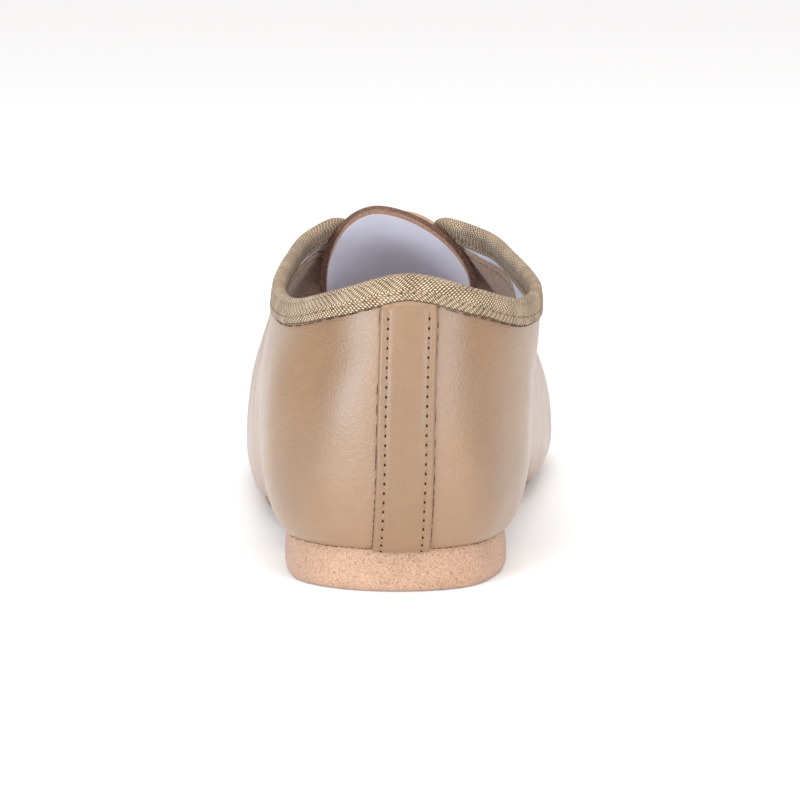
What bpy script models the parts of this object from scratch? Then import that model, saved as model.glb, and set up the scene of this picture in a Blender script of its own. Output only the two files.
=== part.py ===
"""A jazz shoe for the left foot, women's size of about EU 38.

Metres, +Z up, the toe towards +Y, the little toe's side towards -X.  The origin is on the floor, under
the middle of the shoe.  One function gives the outside of the lasted upper, and every other piece is
worked out from it: the ribbon, the strip on the heel, the tongue, the insole and the two soles.
"""

from collections import namedtuple
from math import asin, cos, pi, radians, sin, sqrt

import bmesh
import bpy
from mathutils import Vector

# The last: overall sizes
LENGTH = 0.250
BALL_WIDTH = 0.0855
HEEL_WIDTH = 0.0660
TOE_SWING = 0.004
HEEL_ROUND = 0.039
TOE_ROUND = 0.021

# The last: heights above the floor
BACK_HEIGHT = 0.0754
SIDE_HEIGHT = 0.0664
INSTEP_HEIGHT = 0.0770
THROAT_HEIGHT = 0.0520
TOE_HEIGHT = 0.0290
TOE_SPRING = 0.008
ARCH_RISE = 0.005

# The last: places along the foot, from the back of the heel
COLLAR_BACK_AT = 0.006
COLLAR_WIDEST_AT = 0.052
INSTEP_AT = 0.114
THROAT_FRONT_AT = 0.164
TOE_TOP_AT = 0.224
BALL_START_INSIDE = 0.140
BALL_START_OUTSIDE = 0.116
TREAD_END = 0.196

# The opening
COLLAR_WIDTH = 0.0685
COLLAR_SWAY = 0.0025
INSTEP_GAP = 0.029
THROAT_GAP = 0.010

# Thicknesses and clearances
WALL = 0.0015
GAP = 0.0003
MARGIN = 0.013
SEAM_LAP = 0.006
SEAM_SPREAD = 0.05
SWAY_END = 0.45
BINDING_WIDTH = 0.0052
BINDING_THICKNESS = 0.0007
BINDING_SHOULDER = 0.6
STAY_WIDTH = 0.0137
STAY_THICKNESS = 0.0009
STAY_LEAN = 0.0020
STAY_LOWEST = 1.15
TONGUE_THICKNESS = 0.0016
TONGUE_TOP_AT = 0.107
TONGUE_HEIGHT = 0.0820
TONGUE_WIDTH = 0.0418
TONGUE_DROP = 0.022
TONGUE_LEAN = 0.0054
TONGUE_SWEEP = 0.009
TONGUE_LEFT_ROUND = 1.0
TONGUE_RIGHT_ROUND = 1.20
TONGUE_ROOT_SHARE = 0.70
TONGUE_FREE_SHARE = 0.62
TONGUE_TOP_PULL = 0.014
TONGUE_ROOT_PULL = 1.6
INSOLE_THICKNESS = 0.0025
INSOLE_PLAY = 0.0010
INSOLE_LIFT = 0.0006

# How strongly the sections' arcs pull at their ends, as shares of their reach
TURN_START_PULL = 0.50
TURN_END_PULL = 0.55
SIDE_START_PULL = 0.50
EDGE_FLAT_PULL = 0.55
EDGE_STEEP_PULL = 0.36
SWING_START = 0.55
BALL_SWING = 0.15

# Soles
HEEL_BLOCK_HEIGHT = 0.0100
HEEL_BLOCK_LENGTH = 0.0580
HEEL_BLOCK_BULGE = 0.0010
HEEL_BLOCK_EDGE = 0.0008
SOLE_THICKNESS = 0.0028
SOLE_START = 0.108
SOLE_INSET = 0.0005
SOLE_EDGE_ROUND = 0.0009
SOLE_FRONT_SHARE = 0.985

# Eyelets and lace
EYELET_PAIRS = 4
EYELET_FRONT_SHARE = 0.655
EYELET_TOP_SHARE = 0.560
EYELET_BORE = 0.0015
EYELET_BARREL = 0.0018
EYELET_FLANGE = 0.0030
EYELET_CLINCH = 0.0026
EYELET_FLANGE_THICKNESS = 0.0005
EYELET_ROUND = 0.0003
EYELET_SEAT = 0.0005
EYELET_CLEAR = 0.0004
HOLE_REACH = 6
LACE_RADIUS = 0.0010
LACE_CLEAR = 0.0006
LACE_STUB_SWELL = 1.12
LACE_MEET = 0.34

# How finely the surfaces are divided
EYELET_STEPS = 10
MERGE = 0.00001
SHARP_ANGLE = 40
COLUMNS = 40
THROAT_COLUMN = 27
MARGIN_ROWS = 2
TURN_ROWS = 4
SIDE_ROWS = 8
SIDE_EASE = 1.2
NUDGE = 0.004
RIDGE_LIMIT = 0.96
RIDGE_STEP = 0.05
HEEL_CORE = 0.25
TOE_CORE = 0.80
LEAST_SQUARENESS = 0.62
BRIDGE_PULL = 0.36
HUG_STEPS = 4
BRIDGE_STEPS = 4
NEAR_EDGE_LEVEL = 2.97
BACK_SHARE = 0.2
SEARCH_STEPS = 24

LATERAL = -1
MEDIAL = 1

THROAT_END = THROAT_COLUMN / COLUMNS
ROWS = MARGIN_ROWS + TURN_ROWS + SIDE_ROWS
RING = 2 * COLUMNS
UP = Vector((0, 0, 1))
ACROSS = Vector((1, 0, 0))
TONGUE_RISE = Vector((0, -0.53, 0.85))
TONGUE_FACING = Vector((0, 0.85, 0.53))

# Middle of the box: the strip on the heel lengthens it behind, and the ball swings with the toe
BOX_ALONG = (LENGTH - GAP - STAY_THICKNESS) / 2
BOX_ACROSS = BALL_SWING * TOE_SWING

# Half widths at the widest line, its rise over the sole, and how far the sole's edge lies inside it
Girth = namedtuple("Girth", "share lateral medial rise tuck_lateral tuck_medial")
GIRTHS = (
    Girth(0.06, 0.436 * HEEL_WIDTH, 0.402 * HEEL_WIDTH, 0.25 * BACK_HEIGHT, 0.0062, 0.0062),
    Girth(0.12, 0.504 * HEEL_WIDTH, 0.480 * HEEL_WIDTH, 0.27 * BACK_HEIGHT, 0.0066, 0.0066),
    Girth(0.25, 0.530 * HEEL_WIDTH, 0.505 * HEEL_WIDTH, 0.31 * BACK_HEIGHT, 0.0075, 0.0080),
    Girth(0.40, 0.455 * BALL_WIDTH, 0.432 * BALL_WIDTH, 0.20 * BACK_HEIGHT, 0.0048, 0.0080),
    Girth(0.55, 0.488 * BALL_WIDTH, 0.476 * BALL_WIDTH, 0.13 * BACK_HEIGHT, 0.0036, 0.0050),
    Girth(0.68, 0.500 * BALL_WIDTH, 0.500 * BALL_WIDTH, 0.11 * BACK_HEIGHT, 0.0040, 0.0042),
    Girth(0.80, 0.462 * BALL_WIDTH, 0.455 * BALL_WIDTH, 0.10 * BACK_HEIGHT, 0.0040, 0.0040),
    Girth(0.92, 0.330 * BALL_WIDTH, 0.320 * BALL_WIDTH, 0.10 * BACK_HEIGHT, 0.0042, 0.0042),
)

# The edge of the collar and of the throat, by the share of the way from the heel to the toe
Edge = namedtuple("Edge", "share along lateral medial height lean")
EDGES = (
    Edge(0.00, COLLAR_BACK_AT, 0.0, 0.0, BACK_HEIGHT, 9),
    Edge(0.10, COLLAR_BACK_AT + 0.07 * COLLAR_WIDEST_AT, 0.232 * COLLAR_WIDTH, 0.240 * COLLAR_WIDTH,
         SIDE_HEIGHT + 0.56 * (BACK_HEIGHT - SIDE_HEIGHT), 9),
    Edge(0.20, 0.50 * COLLAR_WIDEST_AT, 0.395 * COLLAR_WIDTH, 0.415 * COLLAR_WIDTH,
         SIDE_HEIGHT + 0.05 * (BACK_HEIGHT - SIDE_HEIGHT), 8),
    Edge(0.30, COLLAR_WIDEST_AT, 0.456 * COLLAR_WIDTH, 0.500 * COLLAR_WIDTH,
         SIDE_HEIGHT + 0.09 * (INSTEP_HEIGHT - SIDE_HEIGHT), 6),
    Edge(0.40, COLLAR_WIDEST_AT + 0.53 * (INSTEP_AT - COLLAR_WIDEST_AT), 0.412 * COLLAR_WIDTH,
         0.432 * COLLAR_WIDTH, SIDE_HEIGHT + 0.46 * (INSTEP_HEIGHT - SIDE_HEIGHT), 14),
    Edge(0.47, INSTEP_AT - 0.012, 0.345 * COLLAR_WIDTH, 0.336 * COLLAR_WIDTH, 0.974 * INSTEP_HEIGHT, 28),
    Edge(0.52, INSTEP_AT, 0.575 * INSTEP_GAP, 0.44 * INSTEP_GAP, INSTEP_HEIGHT, 42),
    Edge(0.56, INSTEP_AT + 0.010, 0.42 * INSTEP_GAP, 0.35 * INSTEP_GAP, 0.955 * INSTEP_HEIGHT, 55),
    Edge(0.62, THROAT_FRONT_AT - 0.023, 0.80 * THROAT_GAP, 0.74 * THROAT_GAP,
         THROAT_HEIGHT + 0.42 * (INSTEP_HEIGHT - THROAT_HEIGHT), 62),
    Edge(THROAT_END, THROAT_FRONT_AT, 0.50 * THROAT_GAP, 0.50 * THROAT_GAP, THROAT_HEIGHT, 76),
)

# The crest of the vamp, from the throat's front to the top of the toe
Crest = namedtuple("Crest", "share along height")
CRESTS = (
    Crest(THROAT_END, THROAT_FRONT_AT + 0.001, THROAT_HEIGHT),
    Crest(0.75, THROAT_FRONT_AT + 0.36 * (TOE_TOP_AT - THROAT_FRONT_AT),
          TOE_HEIGHT + 0.60 * (THROAT_HEIGHT - TOE_HEIGHT)),
    Crest(0.85, THROAT_FRONT_AT + 0.72 * (TOE_TOP_AT - THROAT_FRONT_AT),
          TOE_HEIGHT + 0.24 * (THROAT_HEIGHT - TOE_HEIGHT)),
    Crest(1.00, TOE_TOP_AT, TOE_HEIGHT),
)


class Curve:
    """A smooth curve through the values at its knots, level at an end where that is asked."""

    def __init__(self, knots, values, level_start=False, level_end=False):
        self.knots = list(knots)
        self.values = list(values)
        steps = [
            (self.values[i + 1] - self.values[i]) / (self.knots[i + 1] - self.knots[i])
            for i in range(len(self.knots) - 1)
        ]
        self.slopes = [0.0 if level_start else steps[0]]
        for i in range(1, len(steps)):
            before = self.knots[i] - self.knots[i - 1]
            after = self.knots[i + 1] - self.knots[i]
            self.slopes.append((steps[i - 1] * after + steps[i] * before) / (before + after))
        self.slopes.append(0.0 if level_end else steps[-1])

    def __call__(self, at):
        at = min(max(at, self.knots[0]), self.knots[-1])
        i = 0
        while i < len(self.knots) - 2 and at > self.knots[i + 1]:
            i += 1
        span = self.knots[i + 1] - self.knots[i]
        t = (at - self.knots[i]) / span
        start = (1 + 2 * t) * (1 - t) ** 2 * self.values[i] + t * t * (3 - 2 * t) * self.values[i + 1]
        bend = t * (1 - t) ** 2 * self.slopes[i] - t * t * (1 - t) * self.slopes[i + 1]
        return start + span * bend


def share_of(along):
    """The share of the way round at a distance from the back of the heel."""
    return asin(sqrt(along / LENGTH)) * 2 / pi


def smooth(t):
    """Rise from 0 to 1 with level ends."""
    t = min(max(t, 0.0), 1.0)
    return t * t * (3 - 2 * t)


def bezier(a, b, c, d, t):
    """Point on a cubic arc."""
    s = 1 - t
    return s ** 3 * a + 3 * s * s * t * b + 3 * s * t * t * c + t ** 3 * d


def point(across, along, height):
    """Point from its distance along the foot, measured from the back of the heel."""
    return Vector((across - BOX_ACROSS, along - BOX_ALONG, height))


def fullness_curve(column):
    """Half widths as multiples of an ellipse, so that both ends come out round."""
    shares = [0.0] + [row.share for row in GIRTHS] + [1.0]
    values = [sqrt(HEEL_ROUND * LENGTH / 2)]
    for row in GIRTHS:
        values.append(getattr(row, column) / (2 * sqrt(row.share * (1 - row.share))))
    values.append(sqrt(TOE_ROUND * LENGTH / 2))
    return Curve(shares, values)


def girth_curve(column):
    """A value of the girth rows along the foot."""
    rows = [GIRTHS[0], *GIRTHS, GIRTHS[-1]]
    shares = [0.0] + [row.share for row in GIRTHS] + [1.0]
    return Curve(shares, [getattr(row, column) for row in rows])


def edge_curve(column, level_start):
    """A value of the collar's edge by share."""
    return Curve([row.share for row in EDGES], [getattr(row, column) for row in EDGES], level_start)


def crest_curve(column):
    """A value of the vamp's crest by share."""
    return Curve([row.share for row in CRESTS], [getattr(row, column) for row in CRESTS], False, True)


FULLNESS = {LATERAL: fullness_curve("lateral"), MEDIAL: fullness_curve("medial")}
TUCK = {LATERAL: girth_curve("tuck_lateral"), MEDIAL: girth_curve("tuck_medial")}
RISE = girth_curve("rise")
EDGE_HALF = {LATERAL: edge_curve("lateral", False), MEDIAL: edge_curve("medial", False)}
EDGE_ALONG = edge_curve("along", True)
EDGE_HEIGHT = edge_curve("height", True)
EDGE_LEAN = edge_curve("lean", True)
CREST_ALONG = crest_curve("along")
CREST_HEIGHT = crest_curve("height")


def middle(along):
    """The foot's middle line swings towards the big toe."""
    return TOE_SWING * smooth((along / LENGTH - SWING_START) / (1 - SWING_START))


def underside(across, along):
    """Height of the upper's own underside over the floor."""
    heel_level = HEEL_BLOCK_HEIGHT + GAP
    ball_level = SOLE_THICKNESS + GAP
    inside = min(max(0.5 + (across - middle(along)) / BALL_WIDTH, 0.0), 1.0)
    ball_start = BALL_START_OUTSIDE + (BALL_START_INSIDE - BALL_START_OUTSIDE) * inside
    share = (along - HEEL_BLOCK_LENGTH) / (ball_start - HEEL_BLOCK_LENGTH)
    height = heel_level + (ball_level - heel_level) * smooth(share)
    if 0 < share < 1:
        height += ARCH_RISE * inside * sin(pi * share) ** 2
    if along > TREAD_END:
        height += TOE_SPRING * ((along - TREAD_END) / (LENGTH - TREAD_END)) ** 2
    return height


def widest_plan(side, share):
    """Plan of the widest line: share runs from the heel, 0, to the toe, 1."""
    length_share = (1 - cos(pi * share)) / 2
    along = LENGTH * length_share
    half = FULLNESS[side](length_share) * sin(pi * share)
    return Vector((side * half + middle(along), along, 0))


def inward(side, share):
    """Plan direction from the widest line towards the inside of the foot."""
    run = widest_plan(side, share + NUDGE) - widest_plan(side, share - NUDGE)
    return (Vector((run.y, -run.x, 0)) * -side).normalized()


def feather_plan(side, share, extra=0.0):
    """Plan of the sole's edge."""
    length_share = (1 - cos(pi * share)) / 2
    return widest_plan(side, share) + inward(side, share) * (TUCK[side](length_share) + extra)


def arch_closed(share):
    """How far the lasting margins close towards each other, wholly from the heel's front to the sole's."""
    front = share_of(SOLE_START + SEAM_LAP)
    back = share_of(HEEL_BLOCK_LENGTH - SEAM_LAP)
    closing = smooth((share - back + SEAM_SPREAD) / SEAM_SPREAD)
    return closing * smooth((front + SEAM_SPREAD - share) / SEAM_SPREAD)


def margin_reach(side, share):
    """Plan of the lasting margin's inner edge; both sides meet in a seam under the arch."""
    steady = min(max(share, HEEL_CORE), TOE_CORE)
    edge = feather_plan(side, share)
    core = (feather_plan(LATERAL, steady) + feather_plan(MEDIAL, steady)) / 2
    reach = MARGIN / (core - edge).length
    return edge.lerp(core, reach + (1 - reach) * arch_closed(share))


def top_edge(side, share):
    """Collar, throat or crest point of a column, with the direction in which the column arrives there."""
    if share <= THROAT_END:
        sign = -1 if share < 0 else 1
        place = abs(share)
        across = side * sign * EDGE_HALF[side](place) + COLLAR_SWAY * (1 - smooth(place / SWAY_END))
        spot = Vector((across + middle(EDGE_ALONG(place)), EDGE_ALONG(place), EDGE_HEIGHT(place)))
        lean = radians(EDGE_LEAN(place))
        return spot, inward(side, share) * sin(lean) + UP * cos(lean)
    place = share if share <= 1 else 2 - share
    spot = Vector((middle(CREST_ALONG(place)), CREST_ALONG(place), CREST_HEIGHT(place)))
    steady = min(max(place, THROAT_END + NUDGE), RIDGE_LIMIT)
    run = CREST_ALONG(steady + NUDGE) - CREST_ALONG(steady - NUDGE)
    fall = (CREST_HEIGHT(steady + NUDGE) - CREST_HEIGHT(steady - NUDGE)) / run
    away = spot - widest_plan(side, share)
    away.z = 0
    away.normalize()
    away.z = fall * away.y
    return spot, away.normalized()


def last(side, share, level):
    """Outside of the upper: level 0 to 1 crosses the margin, to 2 turns the edge, to 3 climbs the side."""
    edge = feather_plan(side, share)
    if level <= 1:
        spot = margin_reach(side, share).lerp(edge, level)
        return point(spot.x, spot.y, underside(spot.x, spot.y))
    length_share = (1 - cos(pi * share)) / 2
    rise = RISE(length_share)
    belly = widest_plan(side, share)
    low = underside(edge.x, edge.y)
    start = Vector((edge.x, edge.y, low))
    wide = Vector((belly.x, belly.y, low + rise))
    if level <= 2:
        out = (belly - edge) * TURN_START_PULL
        spot = bezier(start, start + out, wide - UP * TURN_END_PULL * rise, wide, level - 1)
        return point(*spot)
    top, arrival = top_edge(side, share)
    climb = top.z - wide.z
    reach = Vector((top.x - wide.x, top.y - wide.y)).length
    flat = sqrt(max(0.0, 1 - arrival.z ** 2))
    pull = EDGE_FLAT_PULL * reach * flat + EDGE_STEEP_PULL * climb * (1 - flat)
    spot = bezier(wide, wide + UP * SIDE_START_PULL * climb, top - arrival * pull, top, level - 2)
    return point(*spot)


def outward(side, share, level):
    """Direction out of the upper's surface."""
    ahead = NUDGE
    if share <= THROAT_END < share + NUDGE and level > 2:
        ahead = 0
    behind = NUDGE
    if share > THROAT_END >= share - NUDGE and level > 2:
        behind = 0
    up = 0 if level + NUDGE > 3 else NUDGE
    down = 0 if level - NUDGE < 0 else NUDGE
    if level > 3 - 2 * NUDGE and share > 1 - NUDGE:
        level -= RIDGE_STEP
    along = last(side, share + ahead, level) - last(side, share - behind, level)
    climb = last(side, share, level + up) - last(side, share, level - down)
    return (along.cross(climb) * side).normalized()


def skin(side, share, level, depth):
    """Point at a depth inside the upper's outside; a negative depth is outside it."""
    return last(side, share, level) - outward(side, share, level) * depth


def level_below_edge(side, share, distance):
    """The level at a distance down a column from the collar's or throat's edge."""
    step = 0.02
    level = 3.0
    before = last(side, share, level)
    run = 0.0
    while level > 2 + step:
        after = last(side, share, level - step)
        piece = (after - before).length
        if run + piece >= distance:
            return level - step * (distance - run) / piece
        run += piece
        level -= step
        before = after
    return level


def share_at(side, level, across):
    """The share near the heel's back at which a column lies this far from the middle."""
    low = 0.0
    high = BACK_SHARE
    for _ in range(SEARCH_STEPS):
        half = (low + high) / 2
        if side * last(side, half, level).x < across:
            low = half
        else:
            high = half
    return (low + high) / 2


def material(name, colour, roughness, metallic=0.0):
    """Plain surface material."""
    made = bpy.data.materials.new(name)
    made.use_nodes = True
    shader = made.node_tree.nodes["Principled BSDF"]
    shader.inputs["Base Color"].default_value = (*colour, 1)
    shader.inputs["Roughness"].default_value = roughness
    shader.inputs["Metallic"].default_value = metallic
    return made


def mesh_object(name, points, faces, surface, parts):
    """Object from points and faces, shaded smooth with sharp edges kept."""
    mesh = bpy.data.meshes.new(name)
    mesh.from_pydata([tuple(spot) for spot in points], [], faces)
    mesh.validate()
    mesh.shade_smooth()
    mesh.set_sharp_from_angle(angle=radians(SHARP_ANGLE))
    mesh.materials.append(surface)
    made = bpy.data.objects.new(name, mesh)
    parts.objects.link(made)
    return made


def closed_skins(name, faces, outer, inner, surface, parts):
    """Close two like skins along their open edges into one solid."""
    count = len(outer)
    directed = set()
    for face in faces:
        for i, corner in enumerate(face):
            directed.add((corner, face[(i + 1) % len(face)]))
    walls = [(b, a, a + count, b + count) for a, b in sorted(directed) if (b, a) not in directed]
    inside = [tuple(corner + count for corner in reversed(face)) for face in faces]
    return mesh_object(name, [*outer, *inner], [*faces, *inside, *walls], surface, parts)


def grid_faces(columns, rows, turned=False):
    """Faces of a grid whose points run row by row inside each column."""
    faces = []
    for i in range(columns - 1):
        for j in range(rows - 1):
            a = i * rows + j
            face = (a, a + 1, a + rows + 1, a + rows)
            faces.append(tuple(reversed(face)) if turned else face)
    return faces


def ring_solid(name, rings, surface, parts, closed=False):
    """Solid through a row of like closed rings, capped at both ends or joined into a loop."""
    size = len(rings[0])
    points = [spot for ring in rings for spot in ring]
    faces = []
    for i in range(len(rings) if closed else len(rings) - 1):
        here = i * size
        there = ((i + 1) % len(rings)) * size
        for j in range(size):
            k = (j + 1) % size
            faces.append((here + j, here + k, there + k, there + j))
    if not closed:
        faces.append(tuple(reversed(range(size))))
        faces.append(tuple(range(len(points) - size, len(points))))
    made = mesh_object(name, points, faces, surface, parts)
    outward_faces(made)
    return made


def outward_faces(made):
    """Turn every face of a closed mesh outwards."""
    shell = bmesh.new()
    shell.from_mesh(made.data)
    bmesh.ops.recalc_face_normals(shell, faces=shell.faces)
    shell.to_mesh(made.data)
    shell.free()


def row_level(row):
    """Level of a row of the upper's grid."""
    if row <= MARGIN_ROWS:
        return row / MARGIN_ROWS
    if row <= MARGIN_ROWS + TURN_ROWS:
        return 1 + (row - MARGIN_ROWS) / TURN_ROWS
    return 3 - (1 - (row - MARGIN_ROWS - TURN_ROWS) / SIDE_ROWS) ** SIDE_EASE


def ring_column(index):
    """Side and share of a column counted round the whole foot."""
    if index <= COLUMNS:
        return LATERAL, index / COLUMNS
    return MEDIAL, (RING - index) / COLUMNS


def make_upper(parts):
    """Vamp and quarters: one lasted shell."""
    leather = material("upper_leather", (0.55, 0.38, 0.25), 0.5)
    closed_seam = {k for k in range(COLUMNS + 1) if arch_closed(k / COLUMNS) == 1.0}
    keys = {}
    sums = []

    def corner(index, row):
        """Index of a grid point, shared where both sides meet."""
        index %= RING
        side, share = ring_column(index)
        twin = (RING - index) % RING
        column = min(index, RING - index)
        if (row == ROWS and column > THROAT_COLUMN) or (row == 0 and column in closed_seam):
            index = min(index, twin)
        if (index, row) not in keys:
            keys[(index, row)] = len(sums)
            sums.append([])
        spot = keys[(index, row)]
        pair = (last(side, share, row_level(row)), skin(side, share, row_level(row), WALL))
        if pair not in sums[spot]:
            sums[spot].append(pair)
        return spot

    grid = [[corner(i, j) for j in range(ROWS + 1)] for i in range(RING)]
    outer = [sum((pair[0] for pair in group), Vector()) / len(group) for group in sums]
    inner = [sum((pair[1] for pair in group), Vector()) / len(group) for group in sums]
    faces = []
    for i in range(RING):
        k = (i + 1) % RING
        for j in range(ROWS):
            faces.append((grid[i][j], grid[i][j + 1], grid[k][j + 1], grid[k][j]))
    return closed_skins("upper", faces, outer, inner, leather, parts)


def make_back_stay(parts):
    """Strip of leather over the back seam."""
    leather = material("back_stay_leather", (0.56, 0.36, 0.21), 0.5)
    rows = 14
    columns = 5
    outer = []
    inner = []
    for i in range(columns):
        place = STAY_WIDTH * (i / (columns - 1) - 0.5)
        side = LATERAL if place + STAY_LEAN < 0 else MEDIAL
        share = share_at(side, 3, abs(place + STAY_LEAN))
        highest = level_below_edge(side, share, column_run(side, share, BINDING_WIDTH) + 2 * GAP)
        for j in range(rows):
            climb = j / (rows - 1)
            level = STAY_LOWEST + (highest - STAY_LOWEST) * climb
            across = place + STAY_LEAN * climb
            side = LATERAL if across < 0 else MEDIAL
            share = share_at(side, level, abs(across))
            outer.append(skin(side, share, level, -GAP - STAY_THICKNESS))
            inner.append(skin(side, share, level, -GAP))
    faces = grid_faces(columns, rows, turned=True)
    return closed_skins("back_stay", faces, outer, inner, leather, parts)


def column_rise(side, share):
    """Direction in which a column meets the edge."""
    return (last(side, share, 3) - last(side, share, 3 - NUDGE)).normalized()


def column_run(side, share, width):
    """Distance down a column that lies a width away from the edge, measured square to the edge."""
    near = NUDGE if share < THROAT_END else 0
    run = last(side, share + near, 3) - last(side, share - NUDGE, 3)
    return width / max(LEAST_SQUARENESS, column_rise(side, share).cross(run.normalized()).length)


def binding_ring(side, share):
    """Section of the ribbon folded over the edge."""
    rise = column_rise(side, share)
    outs = -GAP - BINDING_THICKNESS
    ins = WALL + GAP + BINDING_THICKNESS
    width = column_run(side, share, BINDING_WIDTH)
    levels = [level_below_edge(side, share, width * k / 2) for k in (2, 1, 0)]
    ring = [skin(side, share, level, outs) for level in levels]
    ring.append(skin(side, share, 3, outs) + rise * (GAP + BINDING_THICKNESS * BINDING_SHOULDER))
    ring.append(skin(side, share, 3, WALL / 2) + rise * (GAP + BINDING_THICKNESS))
    ring.append(skin(side, share, 3, ins) + rise * (GAP + BINDING_THICKNESS * BINDING_SHOULDER))
    ring += [skin(side, share, level, ins) for level in reversed(levels)]
    ring += [skin(side, share, level, WALL + GAP) for level in levels]
    ring.append(skin(side, share, 3, WALL + GAP) + rise * GAP)
    ring.append(skin(side, share, 3, -GAP) + rise * GAP)
    ring += [skin(side, share, level, -GAP) for level in reversed(levels)]
    return ring


def make_binding(parts):
    """Ribbon folded over the edge of the collar and of both sides of the throat."""
    ribbon = material("binding_ribbon", (0.50, 0.38, 0.22), 0.8)
    stations = [(LATERAL, k / COLUMNS) for k in range(THROAT_COLUMN, 0, -1)]
    stations += [(MEDIAL, k / COLUMNS) for k in range(THROAT_COLUMN + 1)]
    rings = [binding_ring(side, share) for side, share in stations]
    return ring_solid("collar_binding", rings, ribbon, parts)


def make_insole(parts):
    """Sock that lies inside on the lasting margin."""
    lining = material("insole_lining", (0.55, 0.55, 0.62), 0.8)
    play = WALL + GAP + INSOLE_PLAY
    base = WALL + INSOLE_LIFT
    rows = 4
    outer = []
    inner = []
    for k in range(1, COLUMNS):
        share = k / COLUMNS
        left = feather_plan(LATERAL, share, play)
        right = feather_plan(MEDIAL, share, play)
        for j in range(rows):
            place = left.lerp(right, j / (rows - 1))
            height = underside(place.x, place.y) + base
            outer.append(point(place.x, place.y, height + INSOLE_THICKNESS))
            inner.append(point(place.x, place.y, height))
    faces = grid_faces(COLUMNS - 1, rows)
    return closed_skins("insole", faces, outer, inner, lining, parts)


def make_forefoot_sole(parts):
    """Suede patch under the ball and toes, thinned to a round edge."""
    suede = material("sole_suede", (0.62, 0.42, 0.30), 0.9)
    columns = 28
    rows = 9
    start = share_of(SOLE_START)
    top = []
    bottom = []
    for k in range(columns + 1):
        share = start + (SOLE_FRONT_SHARE - start) * k / columns
        left = feather_plan(LATERAL, share, SOLE_INSET)
        right = feather_plan(MEDIAL, share, SOLE_INSET)
        for j in range(rows):
            t = (1 - cos(pi * j / (rows - 1))) / 2
            place = left.lerp(right, t)
            height = underside(place.x, place.y) - GAP
            edge = j in (0, rows - 1) or k in (0, columns)
            drop = SOLE_THICKNESS - (SOLE_EDGE_ROUND if edge else 0.0)
            top.append(point(place.x, place.y, height))
            bottom.append(point(place.x, place.y, height - drop))
    faces = grid_faces(columns + 1, rows)
    return closed_skins("forefoot_sole", faces, top, bottom, suede, parts)


def make_heel(parts):
    """Low block covered in suede, its sides a little full."""
    suede = material("heel_suede", (0.70, 0.48, 0.34), 0.9)
    front = share_of(HEEL_BLOCK_LENGTH)
    steps = 16
    Level = namedtuple("Level", "height inset")
    levels = (
        Level(0.0, HEEL_BLOCK_EDGE - HEEL_BLOCK_BULGE),
        Level(HEEL_BLOCK_EDGE, -0.7 * HEEL_BLOCK_BULGE),
        Level(0.35 * HEEL_BLOCK_HEIGHT, -HEEL_BLOCK_BULGE),
        Level(0.70 * HEEL_BLOCK_HEIGHT, -0.6 * HEEL_BLOCK_BULGE),
        Level(HEEL_BLOCK_HEIGHT, 0.0),
    )
    rings = []
    for level in levels:
        ring = []
        for k in range(-steps, steps + 1):
            share = front * abs(k) / steps
            side = LATERAL if k < 0 else MEDIAL
            spot = feather_plan(side, share, level.inset)
            ring.append(point(spot.x, spot.y, level.height))
        rings.append(ring)
    return ring_solid("heel", rings, suede, parts)


def tongue_hug(share, depth):
    """Section of the tongue that follows the facings' inside."""
    reach = (TONGUE_WIDTH - THROAT_GAP) / 2
    sides = {}
    for side in (LATERAL, MEDIAL):
        level = level_below_edge(side, share, reach)
        climb = NEAR_EDGE_LEVEL - level
        steps = [level + climb * k / HUG_STEPS for k in range(HUG_STEPS + 1)]
        sides[side] = [skin(side, share, step, depth) for step in steps]
    left = sides[LATERAL]
    right = sides[MEDIAL]
    span = (right[-1] - left[-1]).length
    out = (left[-1] - left[-2]).normalized() * span * BRIDGE_PULL
    back = (right[-1] - right[-2]).normalized() * span * BRIDGE_PULL
    bridge = [bezier(left[-1], left[-1] + out, right[-1] + back, right[-1], k / BRIDGE_STEPS)
              for k in range(1, BRIDGE_STEPS)]
    return left + bridge + right[::-1]


def tongue_arch(columns, depth):
    """Free top of the tongue: a rounded end that leans to the outer side and falls away straighter inside."""
    path = []
    half = TONGUE_WIDTH / 2
    for k in range(columns):
        turn = pi * (k / (columns - 1) - 0.5)
        if turn < 0:
            reach = (half - TONGUE_LEAN) * -sin(-turn) ** TONGUE_LEFT_ROUND
            fall = 1 - cos(turn) ** TONGUE_LEFT_ROUND
        else:
            reach = (half + TONGUE_LEAN) * sin(turn) ** TONGUE_RIGHT_ROUND
            fall = 1 - max(0.0, cos(turn)) ** TONGUE_RIGHT_ROUND
        along = TONGUE_TOP_AT + TONGUE_SWEEP * fall
        spot = point(reach - TONGUE_LEAN, along, TONGUE_HEIGHT - TONGUE_DROP * fall)
        path.append(spot - (TONGUE_FACING * cos(turn) + ACROSS * sin(turn)) * depth)
    return path


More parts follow.
